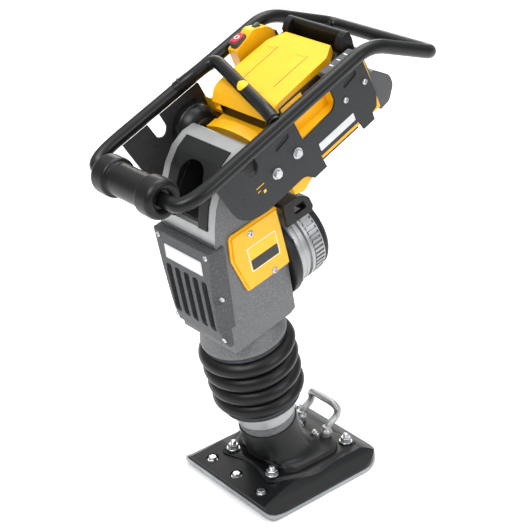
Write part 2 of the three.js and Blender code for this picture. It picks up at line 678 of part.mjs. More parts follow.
function batteryCap() {
  const side = [[184, -30, 3], [206, -6, 12], [378, -4, 5], [380, -22]];
  const full = [...side, [330, -23.7], [193.7, -23.7], [193.7, -30]];
  const plan = [[-83, 180, 18], [83, 180, 18], [79, 345, 6], [56, 381, 6], [-56, 381, 6], [-79, 345, 6]];
  return common(alongX(full, -90, 90), alongZ(plan, -40, 10, 4));
}

function batteryBase() {
  const tub = roundedBlock(-81, 81, 194, 360, BATTERY_BASE_Z, -24, 10);
  const tail = alongX([[318, BATTERY_BASE_Z], [318, -24], [381, -24], [412, -26, 6],
    [412, BATTERY_BASE_Z + 14, 8], [396, BATTERY_BASE_Z, 4]], -95, 95);
  const gripBar = alongX([[399, -30], [399, 3, 4], [404, 8, 3], [411, 6, 3], [414, -12, 4], [411, -30]],
      -76, 76);
  const arms = [-1, 1].map((side) => alongX([[382, -30], [382, -6], [392, 4, 4], [404, 8, 4], [411, 6, 3],
    [411, -30]], side > 0 ? 62 : -78, side > 0 ? 78 : -62));
  const opening = block(-62, 62, 383, 399, -80, 20);
  return cut(join(tub, tail, gripBar, ...arms), opening);
}

// Front roller: a core between two wide end drums, each with a recess that takes the tube end.
function frontRoller() {
  const bore = 10 + RUN;
  const end = [[17.5, ROLLER_SEAT], [17.5, ROLLER_HALF - 4], [21.5, ROLLER_HALF], [31, ROLLER_HALF],
    [ROLLER_FLANGE_R, ROLLER_HALF - 6],
    [ROLLER_FLANGE_R, ROLLER_CORE_HALF], [ROLLER_R, ROLLER_CORE_HALF - 1]];
  const other = end.map(([radius, out]) => [radius, -out]).reverse();
  const profile = [[bore, ROLLER_SEAT], ...end, ...other, [bore, -ROLLER_SEAT], [bore, ROLLER_SEAT]];
  return toX(turned(profile.reverse(), 28)).translate(0, ROLLER_Y, 0);
}

handle.add(
  mesh('frame_tube_left', frameTube(1), 'blackPaint'),
  mesh('frame_tube_right', frameTube(-1), 'blackPaint'),
  mesh('grip_bar', toX(rod(TUBE_R, -91.7, 91.7, 12)).translate(0, GRIP_Y, GRIP_Z), 'blackPaint'),
  mesh('lifting_bar', liftingBar(), 'blackPaint'),
  mesh('side_plate_left', sidePlate(1), 'plateGrey'),
  mesh('side_plate_right', sidePlate(-1), 'plateGrey'),
  mesh('inner_housing', innerHousing(), 'yellow'),
  mesh('controller_box', roundedBlock(-100, 100, 240, 384, -122, -76, 6), 'plasticDark'),
  mesh('lower_rail', block(-118, 118, 233, 332, -143, -132.4), 'blackPaint'),
  mesh('rear_cover', rearCover(), 'smoke'),
  mesh('control_box', controlBox(), 'yellow'),
  mesh('stop_button', roundedBlock(-120, -104, 291, 319, 8, 21, 7), 'red'),
  mesh('start_button', roundedBlock(-117, -107, 346, 360, 1, 17, 4), 'plasticGrey'),
  mesh('battery_gauge', alongX([[306, -17.7], [384, -17.7], [384, -6, 3], [306, -2, 3]], 97, 114),
      'plasticGrey'),
  mesh('battery_cap', batteryCap(), 'yellow'),
  mesh('battery_base', batteryBase(), 'plasticDark'),
  mesh('roller_axle', toX(rod(10, -TUBE_END_X + GAP, TUBE_END_X - GAP, 16)).translate(0, ROLLER_Y, 0),
      'steel'),
  mesh('front_roller', frontRoller(), 'rubber'),
);

for (const [name, side] of [['left', 1], ['right', -1]]) {
  const mount = mesh(`rubber_mount_${name}`, rubberMount(side), 'rubber');
  const mountBolt = mesh(`mount_bolt_${name}`, plateBolt(side, 38), 'steel');
  mountBolt.position.set(0, ...MOUNT_BOLT);
  handle.add(mount, mountBolt);
}

export default rammer;
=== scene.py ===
import json
import math

import bmesh
import bpy
from mathutils import Matrix, Vector
from mathutils.bvhtree import BVHTree


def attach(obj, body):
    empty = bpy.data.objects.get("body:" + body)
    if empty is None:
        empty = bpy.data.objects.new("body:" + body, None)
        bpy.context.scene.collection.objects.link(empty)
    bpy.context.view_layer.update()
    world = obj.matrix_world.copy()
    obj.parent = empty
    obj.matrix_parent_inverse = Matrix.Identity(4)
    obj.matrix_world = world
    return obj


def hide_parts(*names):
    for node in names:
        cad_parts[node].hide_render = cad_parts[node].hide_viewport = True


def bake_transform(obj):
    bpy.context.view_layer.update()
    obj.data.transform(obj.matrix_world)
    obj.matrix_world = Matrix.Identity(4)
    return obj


bl_info = {
    "name": "Jumping jack rammer",
    "version": (1, 0, 0),
    "blender": (4, 5, 0),
    "location": "3D View > Sidebar > Rammer",
    "description": "Finishes a battery-driven soil rammer around its packed frame",
    "category": "Object",
}

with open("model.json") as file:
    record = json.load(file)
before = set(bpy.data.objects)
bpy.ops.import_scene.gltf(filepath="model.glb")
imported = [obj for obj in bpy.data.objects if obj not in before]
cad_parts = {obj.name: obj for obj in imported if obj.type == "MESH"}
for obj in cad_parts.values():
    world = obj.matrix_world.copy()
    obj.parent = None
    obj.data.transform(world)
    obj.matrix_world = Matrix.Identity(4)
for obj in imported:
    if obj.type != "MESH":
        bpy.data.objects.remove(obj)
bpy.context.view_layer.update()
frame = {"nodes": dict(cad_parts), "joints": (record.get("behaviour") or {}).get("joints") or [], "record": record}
NODES = frame["nodes"]
JOINTS = {joint["name"]: joint for joint in frame["joints"]}
SLOTS = {part["node"]: part["material_slot"] for part in frame["record"]["subparts"]}
BODIES = {
    node: body
    for body, members in frame["record"]["behaviour"]["bodies"].items()
    for node in members
}

MM = 0.001
TAU = 2 * math.pi
ACROSS = Vector((1, 0, 0))


# ------------------------------------------------------------------ the three frames


def joint_axis(name):
    return Vector(JOINTS[name]["axis"]).normalized()


def joint_place(name):
    return Vector(JOINTS[name]["pos_m"])


def local_frame(along, up, origin):
    """Turns millimetres in a leaning frame into metres in the object's frame."""
    turn = Matrix((ACROSS, along, up)).transposed().to_4x4()
    return Matrix.Translation(origin) @ turn @ Matrix.Scale(MM, 4)


STROKE_UP = 300  # the stroke joint sits this far up the leg axis
ROLLER_BEHIND = -61  # the roller's place along the handle frame
LEG_UP = joint_axis("stroke")
MOTOR_BACK = joint_axis("crank_spin")
RAIL_UP = joint_axis("battery_slide")
PAD_UP = -joint_axis("stop_press")

GROUND = Matrix.Scale(MM, 4)
MAST = local_frame(MOTOR_BACK, LEG_UP, joint_place("stroke") - LEG_UP * STROKE_UP * MM)
HANDLE = local_frame(RAIL_UP, PAD_UP, joint_place("roller_spin") - RAIL_UP * ROLLER_BEHIND * MM)


# ------------------------------------------------------------------ materials


def linear(code):
    """An sRGB hex code as linear red, green, blue and alpha."""
    parts = [int(code[i : i + 2], 16) / 255 for i in (1, 3, 5)]
    return (*[p / 12.92 if p <= 0.04045 else ((p + 0.055) / 1.055) ** 2.4 for p in parts], 1)


def add_node(tree, kind, links=None, **settings):
    """Adds a node; settings go on the node or on its input of that name, links join sockets to inputs."""
    made = tree.nodes.new(kind)
    for key, value in settings.items():
        if hasattr(made, key):
            setattr(made, key, value)
        else:
            made.inputs[key.replace("_", " ")].default_value = value
    for key, source in (links or {}).items():
        tree.links.new(source, made.inputs[key])
    return made


def finish_material(name, colour, rough, metal=0.0, tint=None, mottle=60, mottle_share=0.35, grain=1.0,
                    depth=0.15, relief=0.08, speck=None, speck_share=0.12, streak=None, coat=0.0,
                    coat_rough=0.15, sheen=0.0, stretch=(1, 1, 1), specular=0.5):
    """One procedural finish. Sizes are in millimetres: mottle is the width of slow colour change, grain that
    of the surface texture, relief its height, and streak the spacing of tool marks."""
    material = bpy.data.materials.new(name)
    material.use_nodes = True
    tree = material.node_tree
    tree.nodes.clear()
    out = add_node(tree, "ShaderNodeOutputMaterial")
    shader = add_node(tree, "ShaderNodeBsdfPrincipled")
    shader.inputs["Metallic"].default_value = metal
    shader.inputs["Coat Weight"].default_value = coat
    shader.inputs["Coat Roughness"].default_value = coat_rough
    shader.inputs["Sheen Weight"].default_value = sheen
    if not metal:
        shader.inputs["Specular IOR Level"].default_value = specular
    tree.links.new(shader.outputs["BSDF"], out.inputs["Surface"])
    place = add_node(tree, "ShaderNodeTexCoord")
    spread = add_node(tree, "ShaderNodeMapping", {"Vector": place.outputs["Object"]}, Scale=stretch)
    where = spread.outputs["Vector"]
    cloud = add_node(tree, "ShaderNodeTexNoise", {"Vector": where}, Scale=1 / (mottle * MM), Detail=4.0)
    fine = add_node(tree, "ShaderNodeTexNoise", {"Vector": where}, Scale=1 / (grain * MM), Detail=3.0,
                    Roughness=0.6)
    weight = add_node(tree, "ShaderNodeMapRange", {"Value": cloud.outputs["Fac"]})
    weight.inputs["From Min"].default_value = 0.35
    weight.inputs["From Max"].default_value = 0.7
    weight.inputs["To Max"].default_value = mottle_share
    paint = add_node(tree, "ShaderNodeMix", data_type="RGBA")
    colour_a, colour_b = [s for s in paint.inputs if s.type == "RGBA"][:2]
    colour_a.default_value = colour
    colour_b.default_value = tint
    tree.links.new(weight.outputs["Result"], paint.inputs["Factor"])
    shade = [s for s in paint.outputs if s.type == "RGBA"][0]
    if speck:
        dots = add_node(tree, "ShaderNodeTexNoise", {"Vector": where}, Scale=1 / (grain * 1.3 * MM),
                        Detail=1.0)
        gate = add_node(tree, "ShaderNodeMapRange", {"Value": dots.outputs["Fac"]})
        gate.inputs["From Min"].default_value = 0.52
        gate.inputs["From Max"].default_value = 0.66
        gate.inputs["To Max"].default_value = speck_share
        fleck = add_node(tree, "ShaderNodeMix", data_type="RGBA")
        under, over = [s for s in fleck.inputs if s.type == "RGBA"][:2]
        over.default_value = linear(speck)
        tree.links.new(shade, under)
        tree.links.new(gate.outputs["Result"], fleck.inputs["Factor"])
        shade = [s for s in fleck.outputs if s.type == "RGBA"][0]
    tree.links.new(shade, shader.inputs["Base Color"])
    gloss = add_node(tree, "ShaderNodeMapRange", {"Value": fine.outputs["Fac"]})
    gloss.inputs["To Min"].default_value = rough - depth / 2
    gloss.inputs["To Max"].default_value = rough + depth / 2
    tree.links.new(gloss.outputs["Result"], shader.inputs["Roughness"])
    height = fine.outputs["Fac"]
    if streak:
        ridge = add_node(tree, "ShaderNodeTexWave", {"Vector": where}, Scale=0.3 / (streak * MM),
                         Distortion=1.5,
                         Detail=2.0, wave_type="BANDS", bands_direction="X")
        both = add_node(tree, "ShaderNodeMath", {0: height, 1: ridge.outputs["Fac"]}, operation="ADD")
        height = both.outputs["Value"]
    bump = add_node(tree, "ShaderNodeBump", {"Height": height}, Strength=0.6, Distance=relief * MM)
    tree.links.new(bump.outputs["Normal"], shader.inputs["Normal"])
    return material


# Each row: the finish's name, then what finish_material is told.
FINISHES = {
    # Hardened steel plate rubbed bright by the ground: pale and streaked along the travel.
    "sole_steel": dict(name="wear_steel_ground", colour="#a9acae", tint="#7f8386", rough=0.42, metal=0.75,
                       mottle=45, mottle_share=0.6, grain=3, depth=0.3, relief=0.12, stretch=(1, 0.25, 1)),
    # Powder coat over a sand casting: deep satin black with a soft, slightly lumpy skin.
    "shoe_paint": dict(name="powder_coat_on_casting", colour="#0e0f10", tint="#161718", rough=0.36,
                       specular=0.28, mottle=55, mottle_share=0.5, grain=3.2, depth=0.12, relief=0.25,
                       coat=0.06, coat_rough=0.3),
    # Zinc-plated machined steel: bright, with fine turning marks.
    "machined_steel": dict(name="zinc_plated_steel_turned", colour="#c6c8ca", tint="#9c9fa2", rough=0.28,
                           metal=0.95, mottle=12, mottle_share=0.4, grain=1.5, depth=0.18, relief=0.03),
    # Black-oxide steel wiped with oil: dark, with a low broken shine.
    "dark_steel": dict(name="black_oxide_steel_oiled", colour="#4a4c4f", tint="#2e3032", rough=0.38,
                       metal=0.85, mottle=14, mottle_share=0.6, grain=1.6, depth=0.25, relief=0.05),
    # Sand-cast aluminium, shot-blasted and clear-coated: light grey with a speckled grain.
    "cast_grey": dict(name="cast_aluminium_blasted", colour="#656667", tint="#5a5b5c", rough=0.5, metal=0.3,
                      mottle=70, mottle_share=0.5, grain=1.7, depth=0.2, relief=0.18, speck="#8e8f90",
                      speck_share=0.5),
    # Die-cast aluminium with its edges linished: pale and even. On the crankcase head it also carries a painted
    # highlight.
    "cast_silver": dict(name="die_cast_aluminium_linished", colour="#a9aaaa", tint="#8d8f90", rough=0.34,
                        metal=0.7, mottle=30, mottle_share=0.4, grain=1.8, depth=0.18, relief=0.06,
                        streak=2.2),
    # Powder-coated steel tube: satin black with a faint orange peel.
    "frame_paint": dict(name="powder_coat_on_tube", colour="#0b0c0c", tint="#121313", rough=0.3,
                        specular=0.25, mottle=40, mottle_share=0.45, grain=2.4, depth=0.1, relief=0.1,
                        coat=0.08, coat_rough=0.25),
    # Textured powder coat on laser-cut sheet: charcoal with a dry, fine grain.
    "plate_paint": dict(name="textured_powder_coat_on_sheet", colour="#2a2b2c", tint="#242526", rough=0.55,
                        specular=0.35, mottle=80, mottle_share=0.4, grain=2.0, depth=0.12, relief=0.12,
                        speck="#444547", speck_share=0.35),
    # Glass-filled nylon from a spark-eroded mould: mid grey with a peppery texture.
    "cover_grey": dict(name="glass_nylon_moulded_grey", colour="#3d3e40", tint="#343537", rough=0.55,
                       mottle=50, mottle_share=0.4, grain=2.0, depth=0.14, relief=0.16, speck="#6d6e70",
                       speck_share=0.4),
    # Glass-filled nylon, black, fine mould texture: soft dark highlights.
    "cover_dark": dict(name="glass_nylon_moulded_black", colour="#101112", tint="#181919", rough=0.42,
                       specular=0.3, mottle=40, mottle_share=0.5, grain=2.0, depth=0.14, relief=0.1),
    # Tinted polycarbonate blend: cool mid grey, a little shinier than the nylon.
    "smoke_grey": dict(name="polycarbonate_blend_moulded_smoke", colour="#3f4143", tint="#343638",
                       rough=0.36, mottle=45, mottle_share=0.5, grain=2.0, depth=0.12, relief=0.06,
                       coat=0.25, coat_rough=0.2),
    # Coloured ABS from a polished mould: saturated yellow with broad soft highlights.
    "yellow": dict(name="abs_moulded_yellow", colour="#f4b60e", tint="#eba703", rough=0.36, specular=0.35,
                   mottle=60, mottle_share=0.5, grain=2.2, depth=0.1, relief=0.05, coat=0.25,
                   coat_rough=0.18),
    # Red PBT push key: even, slightly glossy.
    "red": dict(name="pbt_moulded_red", colour="#d8161f", tint="#bd0f18", rough=0.32, mottle=10,
                mottle_share=0.4, grain=1.6, depth=0.1, relief=0.03, coat=0.3, coat_rough=0.15),
    # Moulded chloroprene rubber: black, satin, with a faint bloom.
    "rubber": dict(name="chloroprene_rubber_moulded", colour="#0b0b0c", tint="#121213", rough=0.34,
                   specular=0.3, mottle=35, mottle_share=0.5, grain=2.6, depth=0.12, relief=0.09,
                   sheen=0.02),
    # Enamelled copper windings: warm and layered.
    "copper": dict(name="enamelled_copper_wound", colour="#b06a2c", tint="#8a4c1c", rough=0.35, metal=0.8,
                   mottle=8, mottle_share=0.6, grain=1.5, depth=0.2, relief=0.12, streak=1.2),
    # Sintered bronze: dull gold with open pores.
    "bronze": dict(name="sintered_bronze", colour="#a9803c", tint="#80602b", rough=0.45, metal=0.8,
                   mottle=10, mottle_share=0.5, grain=1.4, depth=0.2, relief=0.1),
}

EXTRA_FINISHES = {
    # Satin foil with an etched blank face: plain silver.
    "foil": dict(name="satin_foil_badge", colour="#d5d7d8", tint="#b9bcbe", rough=0.3, metal=0.55,
                 mottle=20, mottle_share=0.4, grain=1.2, depth=0.12, relief=0.02, streak=1.4),
    # Screen-printed vinyl, black: smooth and a touch glossy.
    "vinyl_black": dict(name="vinyl_printed_black", colour="#17181a", tint="#222324", rough=0.3, mottle=20,
                        mottle_share=0.4, grain=1.6, depth=0.08, relief=0.02),
    # Screen-printed vinyl, white.
    "vinyl_white": dict(name="vinyl_printed_white", colour="#eeeeec", tint="#dcdcd9", rough=0.34, mottle=18,
                        mottle_share=0.4, grain=1.6, depth=0.08, relief=0.02),
    # Screen-printed vinyl, yellow.
    "vinyl_yellow": dict(name="vinyl_printed_yellow", colour="#f8c21c", tint="#efb208", rough=0.34,
                         mottle=18, mottle_share=0.4, grain=1.6, depth=0.08, relief=0.02),
    # Screen-printed vinyl, green.
    "vinyl_green": dict(name="vinyl_printed_green", colour="#3f9c4b", tint="#2f8a3c", rough=0.34, mottle=18,
                        mottle_share=0.4, grain=1.6, depth=0.08, relief=0.02),
    # Painted studio floor: pale, matt, with the faintest roller texture.
    "floor": dict(name="studio_floor_paint_rolled", colour="#f8f8f8", tint="#f5f5f5", rough=0.75,
                  mottle=600, mottle_share=0.4, grain=9, depth=0.06, relief=0.05),
}

made_materials = {}


def finish(key):
    """The material for a finish, made once, in the user's colour where there is one."""
    if key not in made_materials:
        look = dict({**FINISHES, **EXTRA_FINISHES}[key])
        colour = linear(look["colour"])
        tint = linear(look["tint"])
        if key in RammerColours.__annotations__:
            chosen = (*getattr(bpy.context.scene.rammer_colours, key), 1.0)
            tint = tuple(part * other / own for part, other, own in zip(chosen, tint, colour))
            colour = chosen
        look.update(colour=colour, tint=tint)
        made_materials[key] = finish_material(**look)
    return made_materials[key]


# ------------------------------------------------------------------ mesh building

SIDES = 96  # sides on a turned piece
CORNER_STEPS = 6  # points on an eased corner
SHARP = 38  # degrees: a steeper edge stays crisp
MERGE = 0.004  # millimetres
MERGE_METRES = 2e-5


def eased(corners, closed=True, steps=CORNER_STEPS):
    """Corners (a, b) or (a, b, reach); a corner with a reach becomes a curve of that reach."""
    points = []
    count = len(corners)
    for i, corner in enumerate(corners):
        here = Vector(corner[:2])
        end_stop = not closed and i in (0, count - 1)
        if len(corner) < 3 or end_stop:
            points.append(here)
            continue
        start = here + (Vector(corners[i - 1][:2]) - here).normalized() * corner[2]
        end = here + (Vector(corners[(i + 1) % count][:2]) - here).normalized() * corner[2]
        for step in range(steps + 1):
            t = step / steps
            points.append(start * (1 - t) ** 2 + here * 2 * t * (1 - t) + end * t * t)
    return points


def skin(bm, rings, looped=False, capped=False):
    """Faces between rings of points; a looped stack closes on itself, a capped one gets end faces."""
    rows = [[bm.verts.new(point) for point in ring] for ring in rings]
    count = len(rows[0])
    pairs = list(zip(rows, rows[1:]))
    if looped:
        pairs.append((rows[-1], rows[0]))
    for low, high in pairs:
        for i in range(count):
            j = (i + 1) % count
            bm.faces.new((low[i], low[j], high[j], high[i]))
    if capped:
        bm.faces.new(rows[0])
        bm.faces.new(rows[-1])


def tidy_mesh(bm, merge=MERGE):
    bmesh.ops.remove_doubles(bm, verts=bm.verts, dist=merge)
    bmesh.ops.dissolve_degenerate(bm, edges=bm.edges, dist=merge / 4)
    bmesh.ops.recalc_face_normals(bm, faces=bm.faces)


def turned(bm, profile, axis="Z", centre=(0, 0, 0), sides=SIDES, looped=True):
    """Turns a profile of (radius, height) points round an axis through centre."""
    rings = []
    for radius, height in profile:
        ring = []
        for i in range(sides):
            a, b = radius * math.cos(TAU * i / sides), radius * math.sin(TAU * i / sides)
            spot = {"X": (height, a, b), "Y": (b, height, a), "Z": (a, b, height)}[axis]
            ring.append(Vector(spot) + Vector(centre))
        rings.append(ring)
    skin(bm, rings, looped=looped)


def swept(bm, route, radius, sides=40, flat=1.0):
    """A round bar along a route of points, with closed ends."""
    ahead = (route[1] - route[0]).normalized()
    side = ahead.orthogonal().normalized()
    rings = []
    last = len(route) - 1
    for i, point in enumerate(route):
        way = (route[min(i + 1, last)] - route[max(i - 1, 0)]).normalized()
        side = (side - way * side.dot(way)).normalized()
        other = way.cross(side)
        ring = []
        for k in range(sides):
            angle = TAU * k / sides
            ring.append(point + (side * math.cos(angle) + other * math.sin(angle) * flat) * radius)
        rings.append(ring)
    skin(bm, rings, capped=True)


def bent_route(corners, steps=14, spacing=30):
    """Straight runs joined by bends: corners (x, y, z, reach before, reach after)."""
    spots = [Vector(corner[:3]) for corner in corners]
    route = [spots[0]]
    for i in range(1, len(corners) - 1):
        reach_in = corners[i][3]
        reach_out = corners[i][4] if len(corners[i]) > 4 else reach_in
        start = spots[i] + (spots[i - 1] - spots[i]).normalized() * reach_in
        end = spots[i] + (spots[i + 1] - spots[i]).normalized() * reach_out
        for step in range(steps + 1):
            t = step / steps
            route.append(start * (1 - t) ** 2 + spots[i] * 2 * t * (1 - t) + end * t * t)
    route.append(spots[-1])
    full = [route[0]]
    for before, after in zip(route, route[1:]):
        parts = max(1, round((after - before).length / spacing))
        full += [before.lerp(after, (k + 1) / parts) for k in range(parts)]
    return full


def prism(bm, corners, axis, low, high):
    """An eased outline carried along an axis: X takes (y, z) corners, Y takes (x, z), Z takes (x, y)."""
    order = {
        "X": lambda a, b, c: (c, a, b),
        "Y": lambda a, b, c: (a, c, b),
        "Z": lambda a, b, c: (a, b, c),
    }[axis]
    points = eased(corners)
    skin(bm, [[Vector(order(a, b, level)) for a, b in points] for level in (low, high)], capped=True)


def soften(bm, width, degrees=30, segments=2):
    """Rounds every edge steeper than the given angle."""
    steep = [
        edge for edge in bm.edges
        if len(edge.link_faces) == 2 and edge.calc_face_angle(0) > math.radians(degrees)
    ]
    bmesh.ops.bevel(bm, geom=steep, offset=width, offset_type="OFFSET", segments=segments, profile=0.6,
                    affect="EDGES", clamp_overlap=True)
    wide = [face for face in bm.faces if len(face.verts) > 4]
    bmesh.ops.triangulate(bm, faces=wide, ngon_method="EAR_CLIP")


def piece(name, bm, place, key, body, stands_for=(), sharp=SHARP, even=True):
    """Makes a finished piece from millimetres in a local frame, and gives it its body and finish."""
    bm.transform(place)
    bmesh.ops.recalc_face_normals(bm, faces=bm.faces)
    data = bpy.data.meshes.new(name)
    bm.to_mesh(data)
    bm.free()
    data.polygons.foreach_set("use_smooth", [True] * len(data.polygons))
    data.set_sharp_from_angle(angle=math.radians(sharp))
    made = bpy.data.objects.new(name, data)
    bpy.context.scene.collection.objects.link(made)
    data.materials.append(finish(key))
    if even:
        weighted = made.modifiers.new("even_normals", "WEIGHTED_NORMAL")
        weighted.keep_sharp = True
    if body:
        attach(made, body)
    if stands_for:
        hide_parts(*stands_for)
    return made


def cad_mesh(node):
    """A merged copy of a CAD node's mesh, in millimetres in the object's frame."""
    bm = bmesh.new()
    bm.from_mesh(NODES[node].data)
    bmesh.ops.remove_doubles(bm, verts=bm.verts, dist=MERGE_METRES)
    bm.transform(Matrix.Scale(1 / MM, 4))
    bmesh.ops.dissolve_limit(bm, angle_limit=math.radians(0.6), verts=bm.verts, edges=bm.edges)
    return bm


def refined(node, width, degrees=30, segments=2, key=None, sharp=SHARP):
    """A CAD node rebuilt with its edges rounded, which then stands for it."""
    bm = cad_mesh(node)
    if width:
        soften(bm, width, degrees, segments)
    return piece(f"{node}_finished", bm, GROUND, key or SLOTS[node], BODIES[node], (node,),
                 sharp)


def paint_faces(made, key, place, chosen):
    """Gives some faces a second finish; chosen gets a face's centre and direction in a local frame."""
    made.data.materials.append(finish(key))
    index = len(made.data.materials) - 1
    back = place.inverted()
    turn = back.to_3x3()
    for face in made.data.polygons:
        if chosen(back @ face.center, (turn @ face.normal).normalized()):
            face.material_index = index


surfaces = {}


def onto(node, start, way, place):
    """Where a line from start meets a CAD node, and the surface's direction there, in the local frame."""
    if node not in surfaces:
        data = NODES[node].data
        surfaces[node] = BVHTree.FromPolygons(
            [vertex.co for vertex in data.vertices], [list(p.vertices) for p in data.polygons])
    origin = place @ Vector(start)
    heading = (place.to_3x3() @ Vector(way)).normalized()
    spot, facing, _, _ = surfaces[node].ray_cast(origin, heading)
    if spot is None:
        raise RuntimeError(f"nothing of {node} lies along {tuple(way)} from {tuple(start)}")
    if facing.dot(heading) > 0:
        facing = -facing
    back = place.inverted()
    return back @ spot, (back.to_3x3() @ facing).normalized()


def plaque(bm, centre, facing, right, width, height, proud=0.6, sunk=1.0, corner=2.0, edge=0.25):
    """A thin plate with rounded corners lying on a surface."""
    facing = facing.normalized()
    right = (right - facing * right.dot(facing)).normalized()
    up = facing.cross(right)
    half = (width / 2, height / 2)
    reach = min(corner, half[0] * 0.95, half[1] * 0.95)
    outline = eased([(-half[0], -half[1], reach), (half[0], -half[1], reach), (half[0], half[1], reach),
                     (-half[0], half[1], reach)])
    rings = []
    for level, shrink in ((-sunk, 0), (proud - edge, 0), (proud, edge)):
        ring = []
        for a, b in outline:
            a -= math.copysign(min(shrink, abs(a)), a)
            b -= math.copysign(min(shrink, abs(b)), b)
            ring.append(centre + right * a + up * b + facing * level)
        rings.append(ring)
    skin(bm, rings, capped=True)


# ------------------------------------------------------------------ fasteners by Geometry Nodes


def hexagon(radius, height, turn=0.0):
    return [Vector((radius * math.cos(TAU * i / 6 + turn), radius * math.sin(TAU * i / 6 + turn), height))
            for i in range(6)]


def fastener_source(name, build):
    """A fastener's mesh, standing on z = 0, in metres. It is only a pattern and is removed afterwards."""
    bm = bmesh.new()
    build(bm)
    tidy_mesh(bm)
    bm.transform(GROUND)
    data = bpy.data.meshes.new(name)
    bm.to_mesh(data)
    bm.free()
    data.polygons.foreach_set("use_smooth", [True] * len(data.polygons))
    data.set_sharp_from_angle(angle=math.radians(SHARP))
    return bpy.data.objects.new(name, data)


def build_stud_nut(bm):
    """Washer, chamfered hexagon nut and the threaded end of a stud."""
    turned(bm, [(0, 0), (13.5, 0), (14, 0.5), (14, 1.7), (13.5, 2.2), (0, 2.2)], sides=40, looped=False)
    skin(bm, [hexagon(10.6, 2.3), hexagon(11.4, 3.1), hexagon(11.4, 9.6), hexagon(9.8, 10.8)], capped=True)
    thread = [(0, 10)]
    for turn in range(5):
        low = 10.4 + turn * 1.7
        thread += [(5.3, low), (6, low + 0.6), (6, low + 0.9), (5.3, low + 1.5)]
    turned(bm, [*thread, (4.6, 19.2), (0, 19.4)], sides=28, looped=False)


def build_hex_bolt(bm):
    """Hexagon head with a pressed washer and a shallow dished top."""
    turned(bm, [(0, 0), (10.2, 0), (10.5, 0.3), (10.5, 1.2), (10.1, 1.6), (0, 1.6)], sides=40, looped=False)
    skin(bm, [hexagon(7.7, 1.6), hexagon(8.1, 2.1), hexagon(8.1, 6.0), hexagon(7.0, 6.8), hexagon(5.4, 6.8),
              hexagon(4.9, 6.3)], capped=True)


def build_toe_bolt(bm):
    """Tall hexagon head in a counterbore."""
    turned(bm, [(0, 0), (10.8, 0), (11, 0.4), (11, 1.4), (10.6, 1.8), (0, 1.8)], sides=40, looped=False)
    skin(bm, [hexagon(8.3, 1.8), hexagon(8.8, 2.4), hexagon(8.8, 8.0), hexagon(7.4, 9.0)], capped=True)


def build_pan_screw(bm):
    """Domed head with a six-lobed socket."""
    rings = []
    lobes = 6
    for radius, height, wave in ((6.2, 0, 0), (6.2, 1.4, 0), (5.7, 2.3, 0), (4.6, 3.0, 0), (3.3, 3.3, 0),
                                 (2.9, 3.3, 0.42), (2.7, 1.4, 0.42)):
        ring = []
        for i in range(36):
            angle = TAU * i / 36
            reach = radius + wave * math.cos(lobes * angle)
            ring.append(Vector((reach * math.cos(angle), reach * math.sin(angle), height)))
        rings.append(ring)
    skin(bm, rings, capped=True)


FASTENERS = {"stud_nut": build_stud_nut, "hex_bolt": build_hex_bolt, "toe_bolt": build_toe_bolt,
             "pan_screw": build_pan_screw}


def fastener_tree():
    """Geometry Nodes: sets one fastener on every point, facing along the point's stored direction."""
    tree = bpy.data.node_groups.new("set_of_fasteners", "GeometryNodeTree")
    face = tree.interface
    face.new_socket("Places", in_out="INPUT", socket_type="NodeSocketGeometry")
    face.new_socket("Fastener", in_out="INPUT", socket_type="NodeSocketObject")
    face.new_socket("Size", in_out="INPUT", socket_type="NodeSocketFloat").default_value = 1
    face.new_socket("Turn seed", in_out="INPUT", socket_type="NodeSocketInt").default_value = 3
    face.new_socket("Finish", in_out="INPUT", socket_type="NodeSocketMaterial")
    face.new_socket("Fasteners", in_out="OUTPUT", socket_type="NodeSocketGeometry")
    given = add_node(tree, "NodeGroupInput")
    pattern = add_node(tree, "GeometryNodeObjectInfo", {"Object": given.outputs["Fastener"]})
    facing = add_node(tree, "GeometryNodeInputNamedAttribute", data_type="FLOAT_VECTOR")
    facing.inputs["Name"].default_value = "facing"
    aligned = add_node(tree, "FunctionNodeAlignRotationToVector", {"Vector": facing.outputs["Attribute"]},
                       axis="Z")
    spin = add_node(tree, "FunctionNodeRandomValue", {"Seed": given.outputs["Turn seed"]}, data_type="FLOAT")
    spin_floats = [s for s in spin.inputs if s.type == "VALUE"]
    spin_floats[0].default_value = 0
    spin_floats[1].default_value = math.pi / 3
    turn = add_node(tree, "FunctionNodeAxisAngleToRotation",
                    {"Angle": [s for s in spin.outputs if s.type == "VALUE"][0]}, Axis=(0, 0, 1))
    posed = add_node(tree, "FunctionNodeRotateRotation",
                     {"Rotation": aligned.outputs["Rotation"], "Rotate By": turn.outputs["Rotation"]},
                     rotation_space="LOCAL")
    placed = add_node(tree, "GeometryNodeInstanceOnPoints",
                      {"Points": given.outputs["Places"], "Instance": pattern.outputs["Geometry"],
                       "Rotation": posed.outputs["Rotation"], "Scale": given.outputs["Size"]})
    solid = add_node(tree, "GeometryNodeRealizeInstances", {"Geometry": placed.outputs["Instances"]})
    coated = add_node(tree, "GeometryNodeSetMaterial",
                      {"Geometry": solid.outputs["Geometry"], "Material": given.outputs["Finish"]})
    add_node(tree, "NodeGroupOutput", {"Fasteners": coated.outputs["Geometry"]})
    return tree


def socket_of(tree, label):
    return next(item.identifier for item in tree.interface.items_tree if item.name == label)


